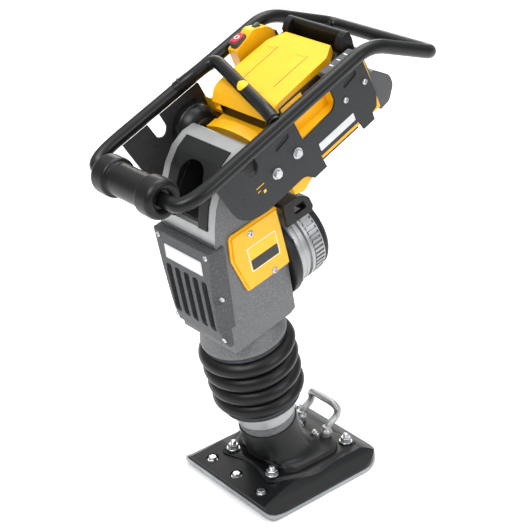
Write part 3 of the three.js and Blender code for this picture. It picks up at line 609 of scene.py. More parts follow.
def set_fasteners(name, kind, spots, place, body, key="machined_steel", size=1.0, seed=3, stands_for=()):
    """Sets fasteners at (position, facing) spots of a local frame, as one mesh on one body."""
    tree = bpy.data.node_groups.get("set_of_fasteners") or fastener_tree()
    pattern = fastener_source(f"{kind}_pattern", FASTENERS[kind])
    data = bpy.data.meshes.new(f"{name}_places")
    data.from_pydata([place @ Vector(spot) for spot, _ in spots], [], [])
    stored = data.attributes.new("facing", "FLOAT_VECTOR", "POINT")
    turn = place.to_3x3()
    for item, (_, facing) in zip(stored.data, spots):
        item.vector = (turn @ Vector(facing)).normalized()
    holder = bpy.data.objects.new(f"{name}_places", data)
    bpy.context.scene.collection.objects.link(holder)
    maker = holder.modifiers.new("fasteners", "NODES")
    maker.node_group = tree
    maker[socket_of(tree, "Fastener")] = pattern
    maker[socket_of(tree, "Size")] = float(size)
    maker[socket_of(tree, "Turn seed")] = seed
    maker[socket_of(tree, "Finish")] = finish(key)
    ready = holder.evaluated_get(bpy.context.evaluated_depsgraph_get())
    mesh = bpy.data.meshes.new_from_object(ready)
    bpy.data.objects.remove(holder)
    bpy.data.objects.remove(pattern)
    mesh.name = name
    if not len(mesh.polygons):
        raise RuntimeError(f"{name} came out empty")
    made = bpy.data.objects.new(name, mesh)
    bpy.context.scene.collection.objects.link(made)
    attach(made, body)
    if stands_for:
        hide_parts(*stands_for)
    return made


# ------------------------------------------------------------------ sizes and colours a user may change


class RammerSizes(bpy.types.PropertyGroup):
    tube_radius: bpy.props.FloatProperty(
        name="Tube radius", description="Outside radius of the handle frame's tube", default=13 * MM,
        unit="LENGTH", subtype="DISTANCE")
    edge_round: bpy.props.FloatProperty(
        name="Edge rounding", description="Radius on the edges of castings and mouldings", default=1.6 * MM,
        unit="LENGTH", subtype="DISTANCE")
    sheet_round: bpy.props.FloatProperty(
        name="Sheet edge rounding", description="Radius on the edges of cut sheet", default=0.7 * MM,
        unit="LENGTH", subtype="DISTANCE")
    bellows_radius: bpy.props.FloatProperty(
        name="Bellows radius", description="Radius of the widest fold", default=97 * MM, unit="LENGTH",
        subtype="DISTANCE")
    bellows_folds: bpy.props.IntProperty(
        name="Bellows folds", description="Number of outward folds", default=4, min=2, max=8)


def colour_choice(key, label, description):
    """A colour a user may change, starting at the finish's own."""
    return bpy.props.FloatVectorProperty(
        name=label, description=description, default=linear(FINISHES[key]["colour"])[:3], subtype="COLOR",
        size=3,
        min=0, max=1)


class RammerColours(bpy.types.PropertyGroup):
    yellow: colour_choice("yellow", "Yellow mouldings", "Battery lid, inner housing, side covers and key box")
    frame_paint: colour_choice("frame_paint", "Frame paint", "Handle tubes, lifting bar and rail")
    plate_paint: colour_choice("plate_paint", "Plate paint", "Both side plates")
    shoe_paint: colour_choice("shoe_paint", "Shoe paint", "Shoe, boot and deck")
    cover_grey: colour_choice("cover_grey", "Front cover", "Vented cover on the front of the case")
    cover_dark: colour_choice("cover_dark", "Dark mouldings", "Head insert, motor ends and controller box")
    cast_grey: colour_choice("cast_grey", "Casting", "Speckled sides of the crankcase and the leg")
    red: colour_choice("red", "Stop key", "Push key that stops the machine")


class RammerStage(bpy.types.PropertyGroup):
    azimuth: bpy.props.FloatProperty(
        name="Azimuth", description="Camera's turn round the object, from its front",
        default=math.radians(48.941),
        subtype="ANGLE")
    elevation: bpy.props.FloatProperty(
        name="Elevation", description="Camera's angle above the horizon", default=math.radians(26.055),
        subtype="ANGLE")
    camera_place: bpy.props.FloatVectorProperty(
        name="Camera place", description="Where the camera stands", default=(1.61861, -1.47154, 1.53232),
        unit="LENGTH", subtype="TRANSLATION")
    lens: bpy.props.FloatProperty(
        name="Lens", description="Focal length on a 36 mm sensor, in millimetres", default=84.46)
    brightness: bpy.props.FloatProperty(
        name="Brightness", description="Overall strength of the studio lights", default=1.0, min=0)


def sizes():
    return bpy.context.scene.rammer_sizes


def millimetres(value):
    return value / MM


# ------------------------------------------------------------------ shoe and leg

SHOE_STUDS = [(-61, -96), (61, -96), (-75, 99), (75, 99)]
SHOE_STUD_TOP = 45.3
SHOE_STUD_NODES = ["shoe_nut_front_right", "shoe_nut_front_left", "shoe_nut_rear_right", "shoe_nut_rear_left"]
TOE_BOLTS = [(-77, -139), (0, -139), (77, -139)]
TOE_BOLT_SEAT = 26.3
TOE_BOLT_NODES = ["toe_bolt_right", "toe_bolt_middle", "toe_bolt_left"]
UPWARD = (0, 0, 1)
BOOT_TOP = 140  # heights and radii along the leg
BOOT_LIP = 61
BOOT_BORE = 58.5
BOOT_BORE_END = 73
BOOT_WAIST = (63, 108)
BOOT_KNEE = (68, 58)
FLARE_REACH = 34  # how far the flare runs out over the pad
FLARE_TURN = 56
FLARE_FOOT = 54.6
PAD_CENTRE = (0, 2)
PAD_HALF = (88, 78)
PAD_SQUARENESS = 5
PAD_TOP = 54
DECK_CORNERS = [(-61, -96), (0, -82), (61, -96), (104, -20), (75, 99), (0, 92), (-75, 99), (-104, -20)]
DECK_STEPS = [(10, 39.5), (5, 41.2), (0, 43.4)]  # spread and height of the raised deck's outlines


def ring_in(place, radius, height, sides):
    """A ring round the leg axis, given in the mast frame, as points in millimetres of the ground frame."""
    to_ground = Matrix.Scale(1 / MM, 4) @ place
    return [
        to_ground @ Vector((radius * math.cos(TAU * i / sides), radius * math.sin(TAU * i / sides), height))
        for i in range(sides)
    ]


def super_outline(centre, half, power, height, sides):
    """A rounded-square outline at one height, point for point beside a ring of as many sides."""
    points = []
    for i in range(sides):
        c, s = math.cos(TAU * i / sides), math.sin(TAU * i / sides)
        reach = (abs(c) ** power + abs(s) ** power) ** (-1 / power)
        points.append(Vector((centre[0] + half[0] * reach * c, centre[1] + half[1] * reach * s, height)))
    return points


class RAMMER_OT_shoe(bpy.types.Operator):
    """Sole, shoe casting and the flared boot that carries the leg"""

    bl_idname = "rammer.shoe"
    bl_label = "Shoe and boot"

    def execute(self, context):
        rounding = millimetres(sizes().edge_round)
        refined("sole_plate", rounding * 0.8)
        refined("shoe_body", rounding * 1.2, degrees=24, segments=3)
        bm = bmesh.new()
        sides = SIDES
        top = ring_in(MAST, BOOT_LIP, BOOT_TOP, sides)
        lip = ring_in(MAST, BOOT_BORE, BOOT_TOP, sides)
        inner = ring_in(MAST, BOOT_BORE, BOOT_BORE_END, sides)
        waist = ring_in(MAST, *BOOT_WAIST, sides)
        knee = ring_in(MAST, *BOOT_KNEE, sides)
        pad = super_outline(PAD_CENTRE, PAD_HALF, PAD_SQUARENESS, PAD_TOP, sides)
        rings = [inner, lip, [a.lerp(b, 0.82) for a, b in zip(lip, top)]]
        rings.append([a + (b - a) * 0.12 for a, b in zip(top, waist)])
        rings.append(waist)
        flare_steps = 14
        for step in range(1, flare_steps + 1):
            t = step / flare_steps
            ring = []
            for start, turn, end in zip(waist, knee, pad):
                reach = (end - turn).to_2d().normalized() * FLARE_REACH
                foot = Vector((turn.x + reach.x, turn.y + reach.y, FLARE_FOOT))
                turn_low = Vector((turn.x, turn.y, FLARE_TURN))
                ring.append(start * (1 - t) ** 2 + turn_low * 2 * t * (1 - t) + foot * t * t)
            rings.append(ring)
        rings.append(pad)
        rings.append([Vector((p.x * 1.012, p.y * 1.012, 52.6)) for p in pad])
        rings.append([Vector((p.x * 1.03, p.y * 1.03, 40.3)) for p in pad])
        skin(bm, rings, capped=True)
        tidy_mesh(bm)
        piece("boot_flared", bm, GROUND, "shoe_paint", "foot", ("foot_casting",), even=False)
        bm = bmesh.new()
        skin(bm, [self.deck_outline(spread, height) for spread, height in DECK_STEPS], capped=True)
        soften(bm, 0.8, degrees=15)
        piece("deck_ridges", bm, GROUND, "shoe_paint", "foot")
        set_fasteners("shoe_studs", "stud_nut", [((x, y, SHOE_STUD_TOP), UPWARD) for x, y in SHOE_STUDS],
                      GROUND,
                      "foot", stands_for=SHOE_STUD_NODES)
        set_fasteners("toe_bolts", "toe_bolt", [((x, y, TOE_BOLT_SEAT), UPWARD) for x, y in TOE_BOLTS],
                      GROUND,
                      "foot", seed=5, stands_for=TOE_BOLT_NODES)
        set_fasteners("lifting_loop_nuts", "stud_nut", [((side * 23, 57, 54.2), UPWARD) for side in (-1, 1)],
                      GROUND, "foot", size=0.62, seed=9)
        return {"FINISHED"}

    def deck_outline(self, spread, height):
        """One outline of the raised deck, eased between its studs."""
        outline = []
        for i, (x, y) in enumerate(DECK_CORNERS):
            grow = 1 + (spread + (17 if i % 2 == 0 else 4)) / math.hypot(x, y)
            outline.append((x * grow, y * grow, 26 if i % 2 else 14))
        return [Vector((a, b, height)) for a, b in eased(outline, steps=8)]


class RAMMER_OT_lifting_loop(bpy.types.Operator):
    """Bent rod loop at the back of the shoe, on two bosses"""

    bl_idname = "rammer.lifting_loop"
    bl_label = "Shoe's lifting loop"

    def execute(self, context):
        rise = [(74, 60), (80, 76, 10), (112, 92, 18), (101, 118, 18)]
        left = [(-40, y, z, *reach) for y, z, *reach in rise]
        right = [(40, y, z, *reach) for y, z, *reach in reversed(rise)]
        bm = bmesh.new()
        swept(bm, bent_route([*left, *right], spacing=12), 7.5, sides=32)
        for side in (-1, 1):
            boss = eased([(0, 54.3), (13, 54.3, 0.8), (13, 66, 3), (8.5, 71.5, 2), (7.6, 76), (0, 76)],
                         closed=False)
            turned(bm, boss, centre=(side * 40, 74, 0), sides=48, looped=False)
        tidy_mesh(bm)
        piece("lifting_loop", bm, GROUND, "cast_silver", "foot", ("foot_handle",))
        return {"FINISHED"}


class RAMMER_OT_leg(bpy.types.Operator):
    """Leg tube, its collar and clamps, the ram and its springs"""

    bl_idname = "rammer.leg"
    bl_label = "Leg and ram"

    def execute(self, context):
        turned_rings = {
            "leg_tube": ([(0, 72), (58, 72, 1), (58, 300, 1.5), (50, 300, 1), (50, 84, 1), (0, 84)],
                         "cast_grey", False),
            "leg_collar": ([(58.3, 160), (61, 160, 0.8), (62, 163, 0.8), (62, 183, 0.8), (61, 186, 0.8),
                            (58.3, 186)], "cast_silver", True),
            "bellows_clamp_lower": ([(58.3, 204), (82, 204, 1.2), (82, 207, 0.5), (80.6, 208, 0.4),
                                     (80.6, 210, 0.4),
                                     (82, 211, 0.5), (82, 213.7, 0.8), (58.3, 213.7)], "dark_steel", True),
            "bellows_clamp_upper": ([(66.3, 360), (82, 360, 0.8), (82, 363, 0.5), (80.6, 364.2, 0.4),
                                     (80.6, 367.4, 0.4), (82, 368.6, 0.5), (82, 371.7, 1), (66.3, 371.7)],
                                    "dark_steel", True),
            # The neck takes the darker casting grey rather than the pale silver: painted shade for the shade that
            # falls under the head.
            "case_neck": ([(66.3, 372), (86, 372, 1.5), (86, 378, 2.5), (74, 406.7, 1.5), (66.3, 406.7)],
                          "cast_grey",
                          True),
            "guide_sleeve": ([(58.8, 252, 0.6), (66, 252, 0.8), (66, 447, 0.8), (58.8, 447, 0.6)],
                             "machined_steel",
                             True),
            "gland_cap": ([(13.8, 286, 0.5), (49.7, 286, 0.5), (49.7, 300, 0.8), (13.8, 300, 0.5)], "bronze",
                          True),
            "ram_rod": ([(0, 196), (49.2, 196, 1), (49.2, 208, 1), (13, 208, 1), (13, 310, 1.5), (0, 310)],
                        "machined_steel", False),
        }
        for node, (profile, key, looped) in turned_rings.items():
            bm = bmesh.new()
            turned(bm, eased(profile, closed=looped, steps=4), looped=looped)
            tidy_mesh(bm)
            piece(f"{node}_turned", bm, MAST, key, BODIES[node], (node,))
        for node, low, high, turns, bodies in (("ram_spring_lower", 91, 188, 4, ("foot", "ram")),
                                               ("ram_spring_upper", 215, 279, 3, ("ram", "foot"))):
            count = turns * 28
            route = [
                Vector((36 * math.cos(TAU * turns * i / count), 36 * math.sin(TAU * turns * i / count),
                        low + (high - low) * i / count))
                for i in range(count + 1)
            ]
            bm = bmesh.new()
            swept(bm, route, 5, sides=16)
            tidy_mesh(bm)
            coil = piece(f"{node}_wound", bm, MAST, "dark_steel", None, (node,), even=False)
            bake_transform(coil)
        return {"FINISHED"}


class RAMMER_OT_bellows(bpy.types.Operator):
    """Folded rubber bellows, built at one length"""

    bl_idname = "rammer.bellows"
    bl_label = "Bellows"

    base = 214
    top = 359.7
    neck = 76
    wall = 6

    def execute(self, context):
        widest = millimetres(sizes().bellows_radius)
        folds = sizes().bellows_folds
        pitch = (self.top - self.base) / folds
        outside = []
        steps = 20
        for fold in range(folds):
            lip = widest - (folds - 1 - fold)
            for step in range(steps):
                t = step / steps
                swell = max(0.0, math.sin(math.pi * t)) ** 0.55
                rib = 0.35 * math.exp(-(((t - 0.5) / 0.05) ** 2))
                outside.append((self.neck + (lip - self.neck) * swell + rib, self.base + (fold + t) * pitch))
        outside.append((self.neck, self.top))
        inside = [(radius - self.wall, height) for radius, height in reversed(outside)]
        bm = bmesh.new()
        turned(bm, [*outside, *inside])
        tidy_mesh(bm)
        made = piece("bellows_folded", bm, MAST, "rubber", None, ("bellows",), sharp=60, even=False)
        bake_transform(made)
        return {"FINISHED"}


# ------------------------------------------------------------------ crankcase and motor

HEAD_FRONT = [(-58, 648), (-49, 680), (-37, 710), (-13, 747), (10, 770), (38, 783), (70, 786)]
COVER_SCREWS = [(69, 628), (79, 537), (70, 445)]
SIDE_SCREWS = [(14, 632), (46, 529)]
BACKWARD = (0, 1, 0)
CASE_SIDE = 88.0  # the side covers' outer face
LABEL_PLACE = (33, 581)
COVER_CLEAR = -140  # in front of the cover, where the lines onto it start
BADGE_UP = 600
# height from which the head's forward and upward faces are painted pale: real band and painted highlight
BAND_HIGHLIGHT_FROM = 600
RECESS = (37, 668, 779)  # the arched recess: half width, lowest and highest point


class RAMMER_OT_crankcase(bpy.types.Operator):
    """Crankcase, its head insert and the screwed covers"""

    bl_idname = "rammer.crankcase"
    bl_label = "Crankcase and covers"

    def execute(self, context):
        rounding = millimetres(sizes().edge_round)
        case = refined("crankcase", rounding, degrees=24)
        # The head's forward and upward faces turn pale silver: partly the real linished band, partly painted
        # highlight.
        paint_faces(case, "cast_silver", MAST, self.is_rim)
        paint_faces(case, "cover_dark", MAST, self.is_recess)
        refined("head_insert", rounding * 0.8, degrees=24)
        refined("front_cover", rounding, degrees=18)
        for side, sign in (("left", 1), ("right", -1)):
            refined(f"side_cover_{side}", rounding * 0.9, degrees=24)
            screws = [((sign * CASE_SIDE, v, w), (sign, 0, 0)) for v, w in SIDE_SCREWS]
            set_fasteners(f"side_cover_screws_{side}", "pan_screw", screws, MAST, "engine", seed=11,
                          size=1.05)
        spots = []
        for x, w in COVER_SCREWS:
            for sign in (-1, 1):
                spot, facing = onto("front_cover", (sign * x, COVER_CLEAR, w), BACKWARD, MAST)
                if w == COVER_SCREWS[1][1]:
                    facing = Vector((sign * 0.3, -0.95, 0)).normalized()
                spots.append((spot - facing * 0.3, facing))
        set_fasteners("front_cover_screws", "pan_screw", spots, MAST, "engine", seed=2, size=0.9)
        self.cover_badge()
        self.side_labels()
        return {"FINISHED"}

    def head_front(self, w):
        """How far forward the head's front stands at a height."""
        for (v0, w0), (v1, w1) in zip(HEAD_FRONT, HEAD_FRONT[1:]):
            if w0 <= w <= w1:
                return v0 + (v1 - v0) * (w - w0) / (w1 - w0)
        return HEAD_FRONT[0][0] if w < HEAD_FRONT[0][1] else HEAD_FRONT[-1][0]

    def is_rim(self, spot, facing):
        """The head's pale band: faces that look forward or up get the linished silver, partly the real linished
        band and partly a painted highlight where the light falls on the top and front.
        """
        return spot.z > BAND_HIGHLIGHT_FROM and abs(facing.x) < 0.6 and (facing.y < -0.1 or facing.z > 0.3)

    def is_recess(self, spot, _facing):
        """Faces inside the arched recess, behind the head's front."""
        half, low, high = RECESS
        return abs(spot.x) < half and low < spot.z < high and spot.y > self.head_front(spot.z) + 5

    def cover_badge(self):
        spot, facing = onto("front_cover", (0, COVER_CLEAR, BADGE_UP), BACKWARD, MAST)
        bm = bmesh.new()
        plaque(bm, spot, facing, Vector((1, 0, 0)), 108, 30, proud=0.9, corner=3)
        piece("front_badge_blank", bm, MAST, "foil", "engine")
        bm = bmesh.new()
        plaque(bm, spot + facing * 0.9, facing, Vector((1, 0, 0)), 101, 23, proud=0.35, corner=2)
        piece("front_badge_field", bm, MAST, "vinyl_white", "engine")

    def side_labels(self):
        for side, sign in (("left", 1), ("right", -1)):
            facing = Vector((sign, 0, 0))
            along = Vector((0, sign, 0))
            centre = Vector((sign * (CASE_SIDE + 0.3), *LABEL_PLACE))
            for part, key, width, height, lift in (("border", "vinyl_white", 70, 52, 0.0),
                                                   ("field", "vinyl_yellow", 67, 49, 0.35)):
                bm = bmesh.new()
                plaque(bm, centre + facing * lift, facing, along, width, height, proud=0.4, corner=4)
                piece(f"side_label_{part}_{side}", bm, MAST, key, "engine")
            bm = bmesh.new()
            plaque(bm, centre + Vector((sign * 0.7, 0, -12)), facing, along, 64, 22, proud=0.4, corner=3)
            piece(f"side_label_band_{side}", bm, MAST, "vinyl_black", "engine")


MOTOR_UP = 505
MOTOR_FINS = 54
FIN_RING = 83.2  # radius the fins stand on
FIN_SEAT = 148
FLANGE_BOLT_RING = 88
FLANGE_FACE = 109.2


class RAMMER_OT_motor(bpy.types.Operator):
    """Motor flange, ringed housing with its fins, end cap and cable guard"""

    bl_idname = "rammer.motor"
    bl_label = "Motor"

    def execute(self, context):
        centre = (0, 0, MOTOR_UP)
        shells = {
            "motor_flange": ([(64, 86.6), (93, 86.6, 2), (95, 90, 2), (95, 104, 3), (90, 109.7, 2),
                              (64, 109.7)],
                             "cover_dark", True),
            "motor_housing": ([(66, 110), (85, 110, 1.5), (87, 114, 2), (87, 121, 0.6), (85.8, 122, 0.5),
                               (85.8, 124, 0.5), (87, 125, 0.6), (87, 131, 1), (82, 133, 1), (82, 137, 1),
                               (87, 139, 1), (87, 146, 1), (83, 148, 1), (83, 169, 0.8), (86.6, 170, 0.8),
                               (86.6, 172, 0.6), (66, 172)], "cast_silver", True),
            "motor_end_cap": ([(0, 172.3), (84, 172.3, 1), (84, 182, 3), (80, 187, 2), (76, 191, 2),
                               (60, 193, 3),
                               (56, 190.5, 1), (50, 190.5, 1), (46, 193, 1), (0, 193)], "cover_dark", False),
            "motor_stator": ([(46, 112, 3), (65.7, 112, 3), (65.7, 168, 3), (46, 168, 3)], "copper", True),
            "motor_bearing": ([(10.8, 74.5, 0.8), (51.7, 74.5, 1), (51.7, 84, 1), (10.8, 84, 0.8)],
                              "machined_steel",
                              True),
        }
        for node, (profile, key, looped) in shells.items():
            bm = bmesh.new()
            turned(bm, eased(profile, closed=looped, steps=4), axis="Y", centre=centre, looped=looped)
            tidy_mesh(bm)
            piece(f"{node}_turned", bm, MAST, key, "engine", (node,))
        self.fins()
        bolts = []
        for i in range(6):
            angle = TAU * (i + 0.5) / 6
            a, b = FLANGE_BOLT_RING * math.cos(angle), FLANGE_BOLT_RING * math.sin(angle)
            bolts.append(((a, FLANGE_FACE, MOTOR_UP + b), BACKWARD))
        set_fasteners("motor_flange_bolts", "hex_bolt", bolts, MAST, "engine", size=0.5, seed=6)
        refined("cable_guard", 1.4, degrees=24)
        return {"FINISHED"}

    def fins(self):
        """Geometry Nodes: one fin repeated evenly round the motor's axis."""
        bm = bmesh.new()
        prism(bm, [(-2.3, 0, 1), (2.3, 0, 1), (2.3, 22, 1), (-2.3, 22, 1)], "Z", -2, 3.6)
        soften(bm, 0.7)
        bm.transform(GROUND)
        data = bpy.data.meshes.new("fin_pattern")
        bm.to_mesh(data)
        bm.free()
        pattern = bpy.data.objects.new("fin_pattern", data)
        tree = bpy.data.node_groups.new("ring_of_fins", "GeometryNodeTree")
        face = tree.interface
        face.new_socket("Start", in_out="INPUT", socket_type="NodeSocketGeometry")
        face.new_socket("Fin", in_out="INPUT", socket_type="NodeSocketObject")
        face.new_socket("Count", in_out="INPUT", socket_type="NodeSocketInt").default_value = MOTOR_FINS
        face.new_socket("Radius", in_out="INPUT", socket_type="NodeSocketFloat").default_value = FIN_RING * MM
        face.new_socket("Finish", in_out="INPUT", socket_type="NodeSocketMaterial")
        face.new_socket("Fins", in_out="OUTPUT", socket_type="NodeSocketGeometry")
        given = add_node(tree, "NodeGroupInput")
        circle = add_node(tree, "GeometryNodeMeshCircle",
                          {"Vertices": given.outputs["Count"], "Radius": given.outputs["Radius"]})
        fin = add_node(tree, "GeometryNodeObjectInfo", {"Object": given.outputs["Fin"]})
        spot = add_node(tree, "GeometryNodeInputPosition")
        out = add_node(tree, "FunctionNodeAlignRotationToVector", {"Vector": spot.outputs["Position"]},
                       axis="Z")
        hold = add_node(tree, "FunctionNodeAlignRotationToVector",
                        {"Rotation": out.outputs["Rotation"]}, axis="Y", pivot_axis="Z", Vector=(0, 0, 1))
        placed = add_node(tree, "GeometryNodeInstanceOnPoints",
                          {"Points": circle.outputs["Mesh"], "Instance": fin.outputs["Geometry"],
                           "Rotation": hold.outputs["Rotation"]})
        solid = add_node(tree, "GeometryNodeRealizeInstances", {"Geometry": placed.outputs["Instances"]})
        coated = add_node(tree, "GeometryNodeSetMaterial",
                          {"Geometry": solid.outputs["Geometry"], "Material": given.outputs["Finish"]})
        add_node(tree, "NodeGroupOutput", {"Fins": coated.outputs["Geometry"]})
        holder = bpy.data.objects.new("fin_holder", bpy.data.meshes.new("fin_holder"))
        bpy.context.scene.collection.objects.link(holder)
        maker = holder.modifiers.new("fins", "NODES")
        maker.node_group = tree
        maker[socket_of(tree, "Fin")] = pattern
        maker[socket_of(tree, "Count")] = MOTOR_FINS
        maker[socket_of(tree, "Radius")] = FIN_RING * MM
        maker[socket_of(tree, "Finish")] = finish("cast_silver")
        mesh = bpy.data.meshes.new_from_object(holder.evaluated_get(bpy.context.evaluated_depsgraph_get()))
        bpy.data.objects.remove(holder)
        bpy.data.objects.remove(pattern)
        if not len(mesh.polygons):
            raise RuntimeError("the motor's fins came out empty")
        seat = MAST @ Matrix.Translation((0, FIN_SEAT, MOTOR_UP)) @ Matrix.Rotation(-math.pi / 2, 4, "X")
        mesh.transform(seat @ Matrix.Scale(1 / MM, 4))
        made = bpy.data.objects.new("motor_fins", mesh)
        bpy.context.scene.collection.objects.link(made)
        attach(made, "engine")


class RAMMER_OT_drive(bpy.types.Operator):
    """Crank gear, rotor, connecting rod and wrist pin inside the case"""

    bl_idname = "rammer.drive"
    bl_label = "Drive train"

    def execute(self, context):
        for node, width in (("crank_gear", 0.5), ("motor_rotor", 0.5), ("connecting_rod", 0.8),
                            ("wrist_pin", 0.6)):
            refined(node, width, degrees=40)
        return {"FINISHED"}


# ------------------------------------------------------------------ handle frame

TUBE_CORNERS = [(80, -61, 0), (138, -60, 0, 31, 74), (138, 400, 0, 34, 42), (138, 536, -116, 30, 30),
                (92, 536, -116)]
GRIP_STOPS = (-91.7, -60, -30, 0, 30, 60, 91.7)
GRIP_PLACE = (536, -116)
LIFTING_CORNERS = [(-137, 158, 3), (-122, 186, 12, 14, 14), (-113, 244, 15, 26, 26),
                   (104, 175.7, 12.2, 12, 12), (133, 165, 5)]
LIFTING_THINNER = 0.5  # the lifting bar's radius is this much less than the tubes'
LIFTING_WELDS = [((126, 167.6, 6.8), (0.91, -0.34, -0.23), 12.9),
                 ((-131, 169, 6.6), (0.45, 0.85, 0.27), 12.7)]
STICKER_PLACE = (17.6, 202.9, 13.6)
STICKER_WAY = (232, -73, -3)
STICKER_HALF = 12
STICKER_OUT = 14.0
STICKER_THICK = 2.0
STICKER_TURN = math.radians(11)
PLATE_OUT = 130.0
# the dark sheets of painted shade behind the slots stand this far out
SLOT_SHADE_OUT = 128.2
SLOT_PLACES = [(163, -38), (340, -34)]
PLATE_EMBOSSING = [(46, -84, 1.1, 17), (52, -84, 1.1, 17), (49, -75.5, 7.1, 1.1), (49, -92.5, 7.1, 1.1)]
PLATE_PRINT = [(90, -78, 19, 1.6), (84, -86, 7, 1.6), (95, -93, 6, 6)]
MOUNT_PLACE = (0, 150, -72)
ROLLER_HALF_PROFILE = [(10.8, 76, 0.4), (17.5, 76, 1), (18.5, 81, 1.5), (23, 85.4, 2), (30, 86, 3),
                       (36.5, 79, 5),
                       (36.5, 48, 2.5), (34.5, 45, 1.2), (31, 44, 1.2), (30, 40, 2)]
AXLE_END = 79.7
AXLE_RADIUS = 10
PLATE_BOLTS = [(130, -82), (184, -79)]
PLATE_SCREWS = [(317, -63), (369, -60.5)]


class RAMMER_OT_handle_frame(bpy.types.Operator):
    """Bent side tubes, grip, slanted lifting bar and the lower rail"""

    bl_idname = "rammer.handle_frame"
    bl_label = "Handle frame"

    def execute(self, context):
        radius = millimetres(sizes().tube_radius)
        for side, sign in (("left", 1), ("right", -1)):
            route = bent_route([(sign * x, *rest) for x, *rest in TUBE_CORNERS])
            bm = bmesh.new()
            swept(bm, route, radius)
            tidy_mesh(bm)
            piece(f"side_tube_{side}", bm, HANDLE, "frame_paint", "handle", (f"frame_tube_{side}",))
        bm = bmesh.new()
        swept(bm, [Vector((x, *GRIP_PLACE)) for x in GRIP_STOPS], radius)
        tidy_mesh(bm)
        piece("grip_tube", bm, HANDLE, "frame_paint", "handle", ("grip_bar",))
        bm = bmesh.new()
        swept(bm, bent_route(LIFTING_CORNERS), radius - LIFTING_THINNER)
        tidy_mesh(bm)
        piece("lifting_tube", bm, HANDLE, "frame_paint", "handle", ("lifting_bar",))
        bm = bmesh.new()
        for spot, way, reach in LIFTING_WELDS:
            self.weld(bm, Vector(spot), Vector(way), reach)
        tidy_mesh(bm)
        piece("lifting_tube_welds", bm, HANDLE, "frame_paint", "handle", sharp=80)
        self.sticker()
        refined("lower_rail", 1.2)
        return {"FINISHED"}

    def weld(self, bm, centre, way, reach):
        """A rippled bead round the end of the bar."""
        way = way.normalized()
        side = way.orthogonal().normalized()
        other = way.cross(side)
        rings = []
        for i in range(60):
            angle = TAU * i / 60
            out = side * math.cos(angle) + other * math.sin(angle)
            thick = 1.7 + 0.3 * math.sin(angle * 14)
            ring = []
            for k in range(10):
                turn = TAU * k / 10
                ring.append(centre + out * (reach + thick * math.cos(turn)) + way * thick * math.sin(turn))
            rings.append(ring)
        skin(bm, rings, looped=True)

    def sticker(self):
        """A plain round sticker wrapped on the middle of the bar."""
        way = Vector(STICKER_WAY).normalized()
        centre = Vector(STICKER_PLACE)
        up = Vector((0, 0, 1))
        up = (up - way * up.dot(way)).normalized()
        side = way.cross(up)
        bm = bmesh.new()
        rings = []
        for level in range(9):
            along_share = -1 + 2 * level / 8
            half = STICKER_HALF * math.sqrt(max(1 - along_share ** 2, 0.02))
            ring = []
            for lift in (0, -STICKER_THICK):
                for k in range(13):
                    share = -1 + 2 * k / 12
                    share = share if lift == 0 else -share
                    angle = half * share / STICKER_OUT + STICKER_TURN
                    ring.append(centre + way * STICKER_HALF * along_share
                                + (up * math.cos(angle) + side * math.sin(angle)) * (STICKER_OUT + lift))
            rings.append(ring)
        skin(bm, rings, capped=True)
        piece("round_sticker_blank", bm, HANDLE, "vinyl_yellow", "handle")


class RAMMER_OT_roller(bpy.types.Operator):
    """Front roller with wide end drums, and its axle"""

    bl_idname = "rammer.roller"
    bl_label = "Front roller"

    def execute(self, context):
        other = [(radius, -out, *reach) for radius, out, *reach in reversed(ROLLER_HALF_PROFILE)]
        bm = bmesh.new()
        turned(bm, eased([*ROLLER_HALF_PROFILE, *other], steps=5), axis="X", centre=(0, ROLLER_BEHIND, 0))
        tidy_mesh(bm)
        piece("roller_turned", bm, HANDLE, "rubber", "roller", ("front_roller",), even=False)
        bm = bmesh.new()
        rod = [(0, -AXLE_END), (AXLE_RADIUS, -AXLE_END, 1), (AXLE_RADIUS, AXLE_END, 1), (0, AXLE_END)]
        turned(bm, eased(rod, closed=False), axis="X",
               centre=(0, ROLLER_BEHIND, 0), sides=48, looped=False)
        tidy_mesh(bm)
        piece("roller_axle_turned", bm, HANDLE, "machined_steel", "handle", ("roller_axle",))
        return {"FINISHED"}


